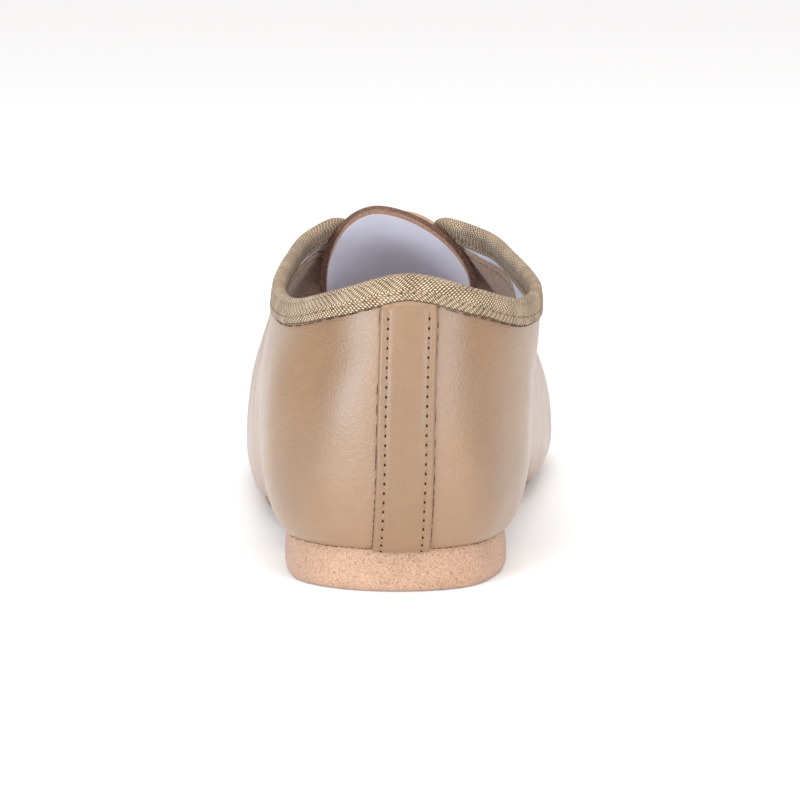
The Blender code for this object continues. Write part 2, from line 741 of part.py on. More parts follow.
def make_tongue(parts):
    """Tongue from under the vamp to its free top inside the collar."""
    leather = material("tongue_leather", (0.36, 0.24, 0.16), 0.8)
    columns = 13
    clear = WALL + 2 * GAP + BINDING_THICKNESS
    top_pull = TONGUE_RISE * TONGUE_TOP_PULL
    hugs = 4
    between = 5
    skins = []
    for depth in (0.0, TONGUE_THICKNESS):
        step = (TONGUE_FREE_SHARE - TONGUE_ROOT_SHARE) / (hugs - 1)
        sections = [tongue_hug(TONGUE_ROOT_SHARE + step * k, clear + depth) for k in range(hugs)]
        arch = tongue_arch(columns, depth)
        low = sections[-1]
        before = sections[-2]
        for k in range(1, between + 1):
            t = k / between
            section = []
            for j in range(columns):
                start = low[j] + (low[j] - before[j]) * TONGUE_ROOT_PULL
                section.append(bezier(low[j], start, arch[j] - top_pull, arch[j], t))
            sections.append(section)
        skins.append([spot for section in sections for spot in section])
    faces = grid_faces(hugs + between, columns)
    made = closed_skins("tongue", faces, skins[0], skins[1], leather, parts)
    outward_faces(made)
    return made


def eyelet_place(side, share):
    """Level of an eyelet's middle down its column."""
    inset = BINDING_WIDTH + GAP + EYELET_FLANGE + EYELET_CLEAR
    return level_below_edge(side, share, column_run(side, share, inset))


def eyelet_share(pair):
    """Share of a pair of eyelets, counted from the throat's front."""
    return EYELET_FRONT_SHARE + (EYELET_TOP_SHARE - EYELET_FRONT_SHARE) * pair / (EYELET_PAIRS - 1)


def make_eyelets(parts, cutters, upper):
    """Turned metal eyelets in both facings, each through a hole in the wall."""
    metal = material("eyelet_metal", (0.75, 0.73, 0.70), 0.3, 1.0)
    top = EYELET_SEAT + EYELET_FLANGE_THICKNESS
    foot = -WALL - EYELET_SEAT
    profile = (
        (EYELET_BORE, top),
        (EYELET_FLANGE - EYELET_ROUND, top),
        (EYELET_FLANGE, EYELET_SEAT),
        (EYELET_BARREL, EYELET_SEAT),
        (EYELET_BARREL, foot),
        (EYELET_CLINCH, foot),
        (EYELET_CLINCH, foot - EYELET_FLANGE_THICKNESS),
        (EYELET_BORE, foot - EYELET_FLANGE_THICKNESS),
    )
    mesh = bpy.data.meshes.new("eyelet")
    count = len(profile)
    mesh.from_pydata([(r, 0, z) for r, z in profile], [(i, (i + 1) % count) for i in range(count)], [])
    mesh.materials.append(metal)
    for side, name in ((LATERAL, "outer"), (MEDIAL, "inner")):
        for pair in range(EYELET_PAIRS):
            share = eyelet_share(pair)
            level = eyelet_place(side, share)
            turn = outward(side, share, level).to_track_quat("Z", "Y")
            made = bpy.data.objects.new(f"eyelet_{name}_{pair + 1}", mesh)
            made.location = last(side, share, level)
            made.rotation_mode = "QUATERNION"
            made.rotation_quaternion = turn
            screw = made.modifiers.new("turned", "SCREW")
            screw.steps = EYELET_STEPS
            screw.render_steps = EYELET_STEPS
            screw.use_merge_vertices = True
            screw.merge_threshold = MERGE
            screw.use_smooth_shade = True
            parts.objects.link(made)
            bpy.ops.mesh.primitive_cylinder_add(
                vertices=EYELET_STEPS, radius=EYELET_BARREL + GAP, depth=HOLE_REACH * WALL,
                location=last(side, share, level), rotation=turn.to_euler())
            cutter = bpy.context.object
            cutter.name = f"hole_{name}_{pair + 1}"
            cutter.hide_render = True
            cutter.display_type = "WIRE"
            for home in list(cutter.users_collection):
                home.objects.unlink(cutter)
            cutters.objects.link(cutter)
            hole = upper.modifiers.new(cutter.name, "BOOLEAN")
            hole.object = cutter
            hole.operation = "DIFFERENCE"


def lace_strand(from_side, from_share, to_share, height):
    """Path of a strand from an eyelet over the facings and the tongue to an eyelet of the other side."""
    half = {}
    for side, base in ((from_side, from_share), (-from_side, to_share)):
        level = eyelet_place(side, base)
        half[side] = []
        for k in range(HUG_STEPS + 1):
            way = k / HUG_STEPS
            share = base + (from_share + to_share - 2 * base) * LACE_MEET * way
            half[side].append(skin(side, share, level + (NEAR_EDGE_LEVEL - level) * way, -height))
    start = half[from_side]
    end = half[-from_side]
    span = (end[-1] - start[-1]).length * BRIDGE_PULL
    leave = start[-1] + (start[-1] - start[-2]).normalized() * span
    arrive = end[-1] + (end[-1] - end[-2]).normalized() * span
    bridge = [bezier(start[-1], leave, arrive, end[-1], k / BRIDGE_STEPS) for k in range(1, BRIDGE_STEPS)]
    return start + bridge + end[::-1]


def cord_mesh(path, radius):
    """Mesh of a round cord along a path, its caps welded."""
    curve = bpy.data.curves.new("strand", "CURVE")
    curve.dimensions = "3D"
    curve.bevel_depth = radius
    curve.bevel_resolution = 1
    curve.use_fill_caps = True
    spline = curve.splines.new("POLY")
    spline.points.add(len(path) - 1)
    for i, spot in enumerate(path):
        spline.points[i].co = (*spot, 1)
    guide = bpy.data.objects.new("strand", curve)
    bpy.context.scene.collection.objects.link(guide)
    bpy.context.view_layer.update()
    mesh = bpy.data.meshes.new_from_object(guide.evaluated_get(bpy.context.evaluated_depsgraph_get()))
    bpy.data.objects.remove(guide)
    shell = bmesh.new()
    shell.from_mesh(mesh)
    bmesh.ops.remove_doubles(shell, verts=shell.verts, dist=MERGE)
    bmesh.ops.recalc_face_normals(shell, faces=shell.faces)
    shell.to_mesh(mesh)
    shell.free()
    return mesh


def make_lace(parts, cutters):
    """The lace's crossings over the throat, joined where the strands cross and in the eyelets."""
    cotton = material("lace_cotton", (0.55, 0.40, 0.27), 0.9)
    height = EYELET_SEAT + EYELET_FLANGE_THICKNESS + LACE_CLEAR + LACE_RADIUS
    pieces = []
    for pair in range(EYELET_PAIRS - 1):
        for side in (LATERAL, MEDIAL):
            pieces.append(lace_strand(side, eyelet_share(pair), eyelet_share(pair + 1), height))
    pieces.insert(0, lace_strand(LATERAL, eyelet_share(0), eyelet_share(0), height))
    for side in (LATERAL, MEDIAL):
        for pair in range(EYELET_PAIRS):
            share = eyelet_share(pair)
            level = eyelet_place(side, share)
            out = outward(side, share, level)
            spot = last(side, share, level)
            foot = WALL + EYELET_SEAT + EYELET_FLANGE_THICKNESS
            pieces.append([spot + out * (height + LACE_RADIUS), spot - out * foot])
    lace = None
    for i, path in enumerate(pieces):
        thick = LACE_RADIUS if len(path) > 2 else LACE_RADIUS * LACE_STUB_SWELL
        mesh = cord_mesh(path, thick)
        if lace is None:
            lace = bpy.data.objects.new("lace", mesh)
            lace.data.materials.append(cotton)
            parts.objects.link(lace)
            continue
        piece = bpy.data.objects.new(f"lace_strand_{i}", mesh)
        piece.hide_render = True
        piece.display_type = "WIRE"
        cutters.objects.link(piece)
        union = lace.modifiers.new(piece.name, "BOOLEAN")
        union.object = piece
        union.operation = "UNION"
    return lace


def main():
    """Build every piece of the shoe."""
    for item in list(bpy.data.objects):
        bpy.data.objects.remove(item, do_unlink=True)
    parts = bpy.data.collections.new("jazz_shoe")
    bpy.context.scene.collection.children.link(parts)
    cutters = bpy.data.collections.new("cutters")
    bpy.context.scene.collection.children.link(cutters)
    upper = make_upper(parts)
    make_back_stay(parts)
    make_binding(parts)
    make_tongue(parts)
    make_insole(parts)
    make_forefoot_sole(parts)
    make_heel(parts)
    make_eyelets(parts, cutters, upper)
    make_lace(parts, cutters)


main()
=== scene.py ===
"""The looks of a jazz shoe for the left foot, photographed from straight behind on a white floor.

Metres, +Z up, the toe towards +Y.  The same function as in the part's source gives the outside of the
lasted upper, and every piece is worked out from it with finer steps than the plain solids have.
"""

from collections import namedtuple
from functools import lru_cache
from math import asin, cos, pi, radians, sin, sqrt

import bmesh
import bpy
import numpy as np
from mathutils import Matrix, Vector, noise


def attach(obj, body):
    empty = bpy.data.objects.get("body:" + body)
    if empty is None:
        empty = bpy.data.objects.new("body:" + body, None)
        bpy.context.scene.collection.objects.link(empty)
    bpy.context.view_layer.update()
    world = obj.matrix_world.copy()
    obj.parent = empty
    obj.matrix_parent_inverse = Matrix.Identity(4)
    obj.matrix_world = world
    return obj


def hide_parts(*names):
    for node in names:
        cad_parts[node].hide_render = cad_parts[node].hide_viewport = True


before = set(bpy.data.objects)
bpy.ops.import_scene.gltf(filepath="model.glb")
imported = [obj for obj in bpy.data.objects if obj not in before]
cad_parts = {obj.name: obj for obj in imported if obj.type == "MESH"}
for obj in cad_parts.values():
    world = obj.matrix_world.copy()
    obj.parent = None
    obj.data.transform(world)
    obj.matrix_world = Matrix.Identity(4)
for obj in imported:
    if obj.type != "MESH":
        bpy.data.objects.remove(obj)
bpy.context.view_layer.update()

# The last: overall sizes
LENGTH = 0.250
BALL_WIDTH = 0.0855
HEEL_WIDTH = 0.0660
TOE_SWING = 0.004
HEEL_ROUND = 0.039
TOE_ROUND = 0.021

# The last: heights above the floor
BACK_HEIGHT = 0.0754
SIDE_HEIGHT = 0.0664
INSTEP_HEIGHT = 0.0770
THROAT_HEIGHT = 0.0520
TOE_HEIGHT = 0.0290
TOE_SPRING = 0.008
ARCH_RISE = 0.005

# The last: places along the foot, from the back of the heel
COLLAR_BACK_AT = 0.006
COLLAR_WIDEST_AT = 0.052
INSTEP_AT = 0.114
THROAT_FRONT_AT = 0.164
TOE_TOP_AT = 0.224
BALL_START_INSIDE = 0.140
BALL_START_OUTSIDE = 0.116
TREAD_END = 0.196

# The opening
COLLAR_WIDTH = 0.0685
COLLAR_SWAY = 0.0025
INSTEP_GAP = 0.029
THROAT_GAP = 0.010

# Thicknesses and clearances of the solids
WALL = 0.0015
GAP = 0.0003
MARGIN = 0.013
SEAM_LAP = 0.006
SEAM_SPREAD = 0.05
SWAY_END = 0.45
BINDING_WIDTH = 0.0052
BINDING_THICKNESS = 0.0007
STAY_WIDTH = 0.0137
STAY_THICKNESS = 0.0009
STAY_LEAN = 0.0020
STAY_LOWEST = 1.15
TONGUE_THICKNESS = 0.0016
TONGUE_TOP_AT = 0.107
TONGUE_HEIGHT = 0.0820
TONGUE_WIDTH = 0.0418
TONGUE_DROP = 0.022
TONGUE_LEAN = 0.0054
TONGUE_SWEEP = 0.009
TONGUE_LEFT_ROUND = 1.0
TONGUE_RIGHT_ROUND = 1.20
TONGUE_ROOT_SHARE = 0.70
TONGUE_FREE_SHARE = 0.62
TONGUE_TOP_PULL = 0.014
TONGUE_ROOT_PULL = 1.6
INSOLE_THICKNESS = 0.0025
INSOLE_PLAY = 0.0010
INSOLE_LIFT = 0.0006

# How strongly the sections' arcs pull at their ends, as shares of their reach
TURN_START_PULL = 0.50
TURN_END_PULL = 0.55
SIDE_START_PULL = 0.50
EDGE_FLAT_PULL = 0.55
EDGE_STEEP_PULL = 0.36
SWING_START = 0.55
BALL_SWING = 0.15

# Soles
HEEL_BLOCK_HEIGHT = 0.0100
HEEL_BLOCK_LENGTH = 0.0580
HEEL_BLOCK_BULGE = 0.0010
SOLE_THICKNESS = 0.0028
SOLE_START = 0.108
SOLE_INSET = 0.0005
SOLE_FRONT_SHARE = 0.985

# Eyelets and lace
EYELET_PAIRS = 4
EYELET_FRONT_SHARE = 0.655
EYELET_TOP_SHARE = 0.560
EYELET_BORE = 0.0015
EYELET_BARREL = 0.0018
EYELET_FLANGE = 0.0030
EYELET_CLINCH = 0.0026
EYELET_FLANGE_THICKNESS = 0.0005
EYELET_SEAT = 0.0005
EYELET_CLEAR = 0.0004
LACE_RADIUS = 0.0010
LACE_CLEAR = 0.0006
LACE_MEET = 0.34

# Limits of the surface functions
NUDGE = 0.004
RIDGE_LIMIT = 0.96
RIDGE_STEP = 0.05
HEEL_CORE = 0.25
TOE_CORE = 0.80
LEAST_SQUARENESS = 0.62
BRIDGE_PULL = 0.36
HUG_STEPS = 4
BRIDGE_STEPS = 4
NEAR_EDGE_LEVEL = 2.97
THROAT_END = 0.675
LATERAL = -1
MEDIAL = 1
UP = Vector((0, 0, 1))
ACROSS = Vector((1, 0, 0))
TONGUE_RISE = Vector((0, -0.53, 0.85))
TONGUE_FACING = Vector((0, 0.85, 0.53))
BOX_ALONG = (LENGTH - GAP - STAY_THICKNESS) / 2
BOX_ACROSS = BALL_SWING * TOE_SWING

# How finely the looks are divided
COLUMNS = 160
THROAT_COLUMN = 108
MARGIN_ROWS = 4
TURN_ROWS = 14
SIDE_ROWS = 58
SIDE_EASE = 1.15

# Half widths at the widest line, its rise over the sole, and how far the sole's edge lies inside it
Girth = namedtuple("Girth", "share lateral medial rise tuck_lateral tuck_medial")
GIRTHS = (
    Girth(0.06, 0.436 * HEEL_WIDTH, 0.402 * HEEL_WIDTH, 0.25 * BACK_HEIGHT, 0.0062, 0.0062),
    Girth(0.12, 0.504 * HEEL_WIDTH, 0.480 * HEEL_WIDTH, 0.27 * BACK_HEIGHT, 0.0066, 0.0066),
    Girth(0.25, 0.530 * HEEL_WIDTH, 0.505 * HEEL_WIDTH, 0.31 * BACK_HEIGHT, 0.0075, 0.0080),
    Girth(0.40, 0.455 * BALL_WIDTH, 0.432 * BALL_WIDTH, 0.20 * BACK_HEIGHT, 0.0048, 0.0080),
    Girth(0.55, 0.488 * BALL_WIDTH, 0.476 * BALL_WIDTH, 0.13 * BACK_HEIGHT, 0.0036, 0.0050),
    Girth(0.68, 0.500 * BALL_WIDTH, 0.500 * BALL_WIDTH, 0.11 * BACK_HEIGHT, 0.0040, 0.0042),
    Girth(0.80, 0.462 * BALL_WIDTH, 0.455 * BALL_WIDTH, 0.10 * BACK_HEIGHT, 0.0040, 0.0040),
    Girth(0.92, 0.330 * BALL_WIDTH, 0.320 * BALL_WIDTH, 0.10 * BACK_HEIGHT, 0.0042, 0.0042),
)

# The edge of the collar and of the throat, by the share of the way from the heel to the toe
Edge = namedtuple("Edge", "share along lateral medial height lean")
EDGES = (
    Edge(0.00, COLLAR_BACK_AT, 0.0, 0.0, BACK_HEIGHT, 9),
    Edge(0.10, COLLAR_BACK_AT + 0.07 * COLLAR_WIDEST_AT, 0.232 * COLLAR_WIDTH, 0.240 * COLLAR_WIDTH,
         SIDE_HEIGHT + 0.56 * (BACK_HEIGHT - SIDE_HEIGHT), 9),
    Edge(0.20, 0.50 * COLLAR_WIDEST_AT, 0.395 * COLLAR_WIDTH, 0.415 * COLLAR_WIDTH,
         SIDE_HEIGHT + 0.05 * (BACK_HEIGHT - SIDE_HEIGHT), 8),
    Edge(0.30, COLLAR_WIDEST_AT, 0.456 * COLLAR_WIDTH, 0.500 * COLLAR_WIDTH,
         SIDE_HEIGHT + 0.09 * (INSTEP_HEIGHT - SIDE_HEIGHT), 6),
    Edge(0.40, COLLAR_WIDEST_AT + 0.53 * (INSTEP_AT - COLLAR_WIDEST_AT), 0.412 * COLLAR_WIDTH,
         0.432 * COLLAR_WIDTH, SIDE_HEIGHT + 0.46 * (INSTEP_HEIGHT - SIDE_HEIGHT), 14),
    Edge(0.47, INSTEP_AT - 0.012, 0.345 * COLLAR_WIDTH, 0.336 * COLLAR_WIDTH, 0.974 * INSTEP_HEIGHT, 28),
    Edge(0.52, INSTEP_AT, 0.575 * INSTEP_GAP, 0.44 * INSTEP_GAP, INSTEP_HEIGHT, 42),
    Edge(0.56, INSTEP_AT + 0.010, 0.42 * INSTEP_GAP, 0.35 * INSTEP_GAP, 0.955 * INSTEP_HEIGHT, 55),
    Edge(0.62, THROAT_FRONT_AT - 0.023, 0.80 * THROAT_GAP, 0.74 * THROAT_GAP,
         THROAT_HEIGHT + 0.42 * (INSTEP_HEIGHT - THROAT_HEIGHT), 62),
    Edge(THROAT_END, THROAT_FRONT_AT, 0.50 * THROAT_GAP, 0.50 * THROAT_GAP, THROAT_HEIGHT, 76),
)

# The crest of the vamp, from the throat's front to the top of the toe
Crest = namedtuple("Crest", "share along height")
CRESTS = (
    Crest(THROAT_END, THROAT_FRONT_AT + 0.001, THROAT_HEIGHT),
    Crest(0.75, THROAT_FRONT_AT + 0.36 * (TOE_TOP_AT - THROAT_FRONT_AT),
          TOE_HEIGHT + 0.60 * (THROAT_HEIGHT - TOE_HEIGHT)),
    Crest(0.85, THROAT_FRONT_AT + 0.72 * (TOE_TOP_AT - THROAT_FRONT_AT),
          TOE_HEIGHT + 0.24 * (THROAT_HEIGHT - TOE_HEIGHT)),
    Crest(1.00, TOE_TOP_AT, TOE_HEIGHT),
)


class Curve:
    """A smooth curve through the values at its knots, level at an end where that is asked."""

    def __init__(self, knots, values, level_start=False, level_end=False):
        self.knots = list(knots)
        self.values = list(values)
        steps = [
            (self.values[i + 1] - self.values[i]) / (self.knots[i + 1] - self.knots[i])
            for i in range(len(self.knots) - 1)
        ]
        self.slopes = [0.0 if level_start else steps[0]]
        for i in range(1, len(steps)):
            before = self.knots[i] - self.knots[i - 1]
            after = self.knots[i + 1] - self.knots[i]
            self.slopes.append((steps[i - 1] * after + steps[i] * before) / (before + after))
        self.slopes.append(0.0 if level_end else steps[-1])

    def __call__(self, at):
        at = min(max(at, self.knots[0]), self.knots[-1])
        i = 0
        while i < len(self.knots) - 2 and at > self.knots[i + 1]:
            i += 1
        span = self.knots[i + 1] - self.knots[i]
        t = (at - self.knots[i]) / span
        start = (1 + 2 * t) * (1 - t) ** 2 * self.values[i] + t * t * (3 - 2 * t) * self.values[i + 1]
        bend = t * (1 - t) ** 2 * self.slopes[i] - t * t * (1 - t) * self.slopes[i + 1]
        return start + span * bend


def share_of(along):
    """The share of the way round at a distance from the back of the heel."""
    return asin(sqrt(along / LENGTH)) * 2 / pi


def smooth(t):
    """Rise from 0 to 1 with level ends."""
    t = min(max(t, 0.0), 1.0)
    return t * t * (3 - 2 * t)


def bezier(a, b, c, d, t):
    """Point on a cubic arc."""
    s = 1 - t
    return s ** 3 * a + 3 * s * s * t * b + 3 * s * t * t * c + t ** 3 * d


def point(across, along, height):
    """Point from its distance along the foot, measured from the back of the heel."""
    return Vector((across - BOX_ACROSS, along - BOX_ALONG, height))


def fullness_curve(column):
    """Half widths as multiples of an ellipse, so that both ends come out round."""
    shares = [0.0] + [row.share for row in GIRTHS] + [1.0]
    values = [sqrt(HEEL_ROUND * LENGTH / 2)]
    for row in GIRTHS:
        values.append(getattr(row, column) / (2 * sqrt(row.share * (1 - row.share))))
    values.append(sqrt(TOE_ROUND * LENGTH / 2))
    return Curve(shares, values)


def girth_curve(column):
    """A value of the girth rows along the foot."""
    rows = [GIRTHS[0], *GIRTHS, GIRTHS[-1]]
    shares = [0.0] + [row.share for row in GIRTHS] + [1.0]
    return Curve(shares, [getattr(row, column) for row in rows])


def edge_curve(column, level_start):
    """A value of the collar's edge by share."""
    return Curve([row.share for row in EDGES], [getattr(row, column) for row in EDGES], level_start)


def crest_curve(column):
    """A value of the vamp's crest by share."""
    return Curve([row.share for row in CRESTS], [getattr(row, column) for row in CRESTS], False, True)


FULLNESS = {LATERAL: fullness_curve("lateral"), MEDIAL: fullness_curve("medial")}
TUCK = {LATERAL: girth_curve("tuck_lateral"), MEDIAL: girth_curve("tuck_medial")}
RISE = girth_curve("rise")
EDGE_HALF = {LATERAL: edge_curve("lateral", False), MEDIAL: edge_curve("medial", False)}
EDGE_ALONG = edge_curve("along", True)
EDGE_HEIGHT = edge_curve("height", True)
EDGE_LEAN = edge_curve("lean", True)
CREST_ALONG = crest_curve("along")
CREST_HEIGHT = crest_curve("height")


def middle(along):
    """The foot's middle line swings towards the big toe."""
    return TOE_SWING * smooth((along / LENGTH - SWING_START) / (1 - SWING_START))


def underside(across, along):
    """Height of the upper's own underside over the floor."""
    heel_level = HEEL_BLOCK_HEIGHT + GAP
    ball_level = SOLE_THICKNESS + GAP
    inside = min(max(0.5 + (across - middle(along)) / BALL_WIDTH, 0.0), 1.0)
    ball_start = BALL_START_OUTSIDE + (BALL_START_INSIDE - BALL_START_OUTSIDE) * inside
    share = (along - HEEL_BLOCK_LENGTH) / (ball_start - HEEL_BLOCK_LENGTH)
    height = heel_level + (ball_level - heel_level) * smooth(share)
    if 0 < share < 1:
        height += ARCH_RISE * inside * sin(pi * share) ** 2
    if along > TREAD_END:
        height += TOE_SPRING * ((along - TREAD_END) / (LENGTH - TREAD_END)) ** 2
    return height


def widest_plan(side, share):
    """Plan of the widest line: share runs from the heel, 0, to the toe, 1."""
    length_share = (1 - cos(pi * share)) / 2
    along = LENGTH * length_share
    half = FULLNESS[side](length_share) * sin(pi * share)
    return Vector((side * half + middle(along), along, 0))


def inward(side, share):
    """Plan direction from the widest line towards the inside of the foot."""
    run = widest_plan(side, share + NUDGE) - widest_plan(side, share - NUDGE)
    return (Vector((run.y, -run.x, 0)) * -side).normalized()


def feather_plan(side, share, extra=0.0):
    """Plan of the sole's edge."""
    length_share = (1 - cos(pi * share)) / 2
    return widest_plan(side, share) + inward(side, share) * (TUCK[side](length_share) + extra)


def arch_closed(share):
    """How far the lasting margins close towards each other, wholly from the heel's front to the sole's."""
    front = share_of(SOLE_START + SEAM_LAP)
    back = share_of(HEEL_BLOCK_LENGTH - SEAM_LAP)
    closing = smooth((share - back + SEAM_SPREAD) / SEAM_SPREAD)
    return closing * smooth((front + SEAM_SPREAD - share) / SEAM_SPREAD)


def margin_reach(side, share):
    """Plan of the lasting margin's inner edge; both sides meet in a seam under the arch."""
    steady = min(max(share, HEEL_CORE), TOE_CORE)
    edge = feather_plan(side, share)
    core = (feather_plan(LATERAL, steady) + feather_plan(MEDIAL, steady)) / 2
    reach = MARGIN / (core - edge).length
    return edge.lerp(core, reach + (1 - reach) * arch_closed(share))


def top_edge(side, share):
    """Collar, throat or crest point of a column, with the direction in which the column arrives there."""
    if share <= THROAT_END:
        sign = -1 if share < 0 else 1
        place = abs(share)
        across = side * sign * EDGE_HALF[side](place) + COLLAR_SWAY * (1 - smooth(place / SWAY_END))
        spot = Vector((across + middle(EDGE_ALONG(place)), EDGE_ALONG(place), EDGE_HEIGHT(place)))
        lean = radians(EDGE_LEAN(place))
        return spot, inward(side, share) * sin(lean) + UP * cos(lean)
    place = share if share <= 1 else 2 - share
    spot = Vector((middle(CREST_ALONG(place)), CREST_ALONG(place), CREST_HEIGHT(place)))
    steady = min(max(place, THROAT_END + NUDGE), RIDGE_LIMIT)
    run = CREST_ALONG(steady + NUDGE) - CREST_ALONG(steady - NUDGE)
    fall = (CREST_HEIGHT(steady + NUDGE) - CREST_HEIGHT(steady - NUDGE)) / run
    away = spot - widest_plan(side, share)
    away.z = 0
    away.normalize()
    away.z = fall * away.y
    return spot, away.normalized()


@lru_cache(maxsize=None)
def column_frame(side, share):
    """What a column's shape needs: the sole's edge, the widest point, its rise, the top and its direction."""
    edge = feather_plan(side, share)
    belly = widest_plan(side, share)
    rise = RISE((1 - cos(pi * share)) / 2)
    low = underside(edge.x, edge.y)
    top, arrival = top_edge(side, share)
    start = Vector((edge.x, edge.y, low))
    wide = Vector((belly.x, belly.y, low + rise))
    return start, wide, rise, top, arrival


@lru_cache(maxsize=None)
def last(side, share, level):
    """Outside of the upper: level 0 to 1 crosses the margin, to 2 turns the edge, to 3 climbs the side."""
    start, wide, rise, top, arrival = column_frame(side, share)
    if level <= 1:
        spot = margin_reach(side, share).lerp(Vector((start.x, start.y, 0)), level)
        return point(spot.x, spot.y, underside(spot.x, spot.y))
    if level <= 2:
        out = Vector((wide.x - start.x, wide.y - start.y, 0)) * TURN_START_PULL
        spot = bezier(start, start + out, wide - UP * TURN_END_PULL * rise, wide, level - 1)
        return point(*spot)
    climb = top.z - wide.z
    reach = Vector((top.x - wide.x, top.y - wide.y)).length
    flat = sqrt(max(0.0, 1 - arrival.z ** 2))
    pull = EDGE_FLAT_PULL * reach * flat + EDGE_STEEP_PULL * climb * (1 - flat)
    spot = bezier(wide, wide + UP * SIDE_START_PULL * climb, top - arrival * pull, top, level - 2)
    return point(*spot)


@lru_cache(maxsize=None)
def outward(side, share, level):
    """Direction out of the upper's surface."""
    ahead = NUDGE
    if share <= THROAT_END < share + NUDGE and level > 2:
        ahead = 0
    behind = NUDGE
    if share > THROAT_END >= share - NUDGE and level > 2:
        behind = 0
    up = 0 if level + NUDGE > 3 else NUDGE
    down = 0 if level - NUDGE < 0 else NUDGE
    if level > 3 - 2 * NUDGE and share > 1 - NUDGE:
        level -= RIDGE_STEP
    along = last(side, share + ahead, level) - last(side, share - behind, level)
    climb = last(side, share, level + up) - last(side, share, level - down)
    return (along.cross(climb) * side).normalized()


def skin(side, share, level, depth):
    """Point at a depth inside the upper's outside; a negative depth is outside it."""
    return last(side, share, level) - outward(side, share, level) * depth


def level_below_edge(side, share, distance):
    """The level at a distance down a column from the collar's or throat's edge."""
    step = 0.02
    level = 3.0
    before = last(side, share, level)
    run = 0.0
    while level > 2 + step:
        after = last(side, share, level - step)
        piece = (after - before).length
        if run + piece >= distance:
            return level - step * (distance - run) / piece
        run += piece
        level -= step
        before = after
    return level


def share_at(side, level, across):
    """The share near the heel's back at which a column lies this far from the middle."""
    low_share = 0.0
    low = side * last(side, low_share, level).x
    high_share = 0.12
    high = side * last(side, high_share, level).x
    for _ in range(5):
        share = low_share + (high_share - low_share) * (across - low) / (high - low)
        reached = side * last(side, share, level).x
        if abs(reached - across) < 1e-6:
            break
        if reached < across:
            low_share, low = share, reached
        else:
            high_share, high = share, reached
    return share


def column_rise(side, share):
    """Direction in which a column meets the edge."""
    return (last(side, share, 3) - last(side, share, 3 - NUDGE)).normalized()


def column_run(side, share, width):
    """Distance down a column that lies a width away from the edge, measured square to the edge."""
    near = NUDGE if share < THROAT_END else 0
    run = last(side, share + near, 3) - last(side, share - NUDGE, 3)
    return width / max(LEAST_SQUARENESS, column_rise(side, share).cross(run.normalized()).length)


def eyelet_place(side, share):
    """Level of an eyelet's middle down its column."""
    inset = BINDING_WIDTH + GAP + EYELET_FLANGE + EYELET_CLEAR
    return level_below_edge(side, share, column_run(side, share, inset))


def eyelet_share(pair):
    """Share of a pair of eyelets, counted from the throat's front."""
    return EYELET_FRONT_SHARE + (EYELET_TOP_SHARE - EYELET_FRONT_SHARE) * pair / (EYELET_PAIRS - 1)


# Materials: a small kit for shader nodes


def tone(red, green, blue):
    """Linear colour from screen values of 0 to 255."""
    values = [value / 255 for value in (red, green, blue)]
    return tuple(v / 12.92 if v <= 0.04045 else ((v + 0.055) / 1.055) ** 2.4 for v in values) + (1.0,)


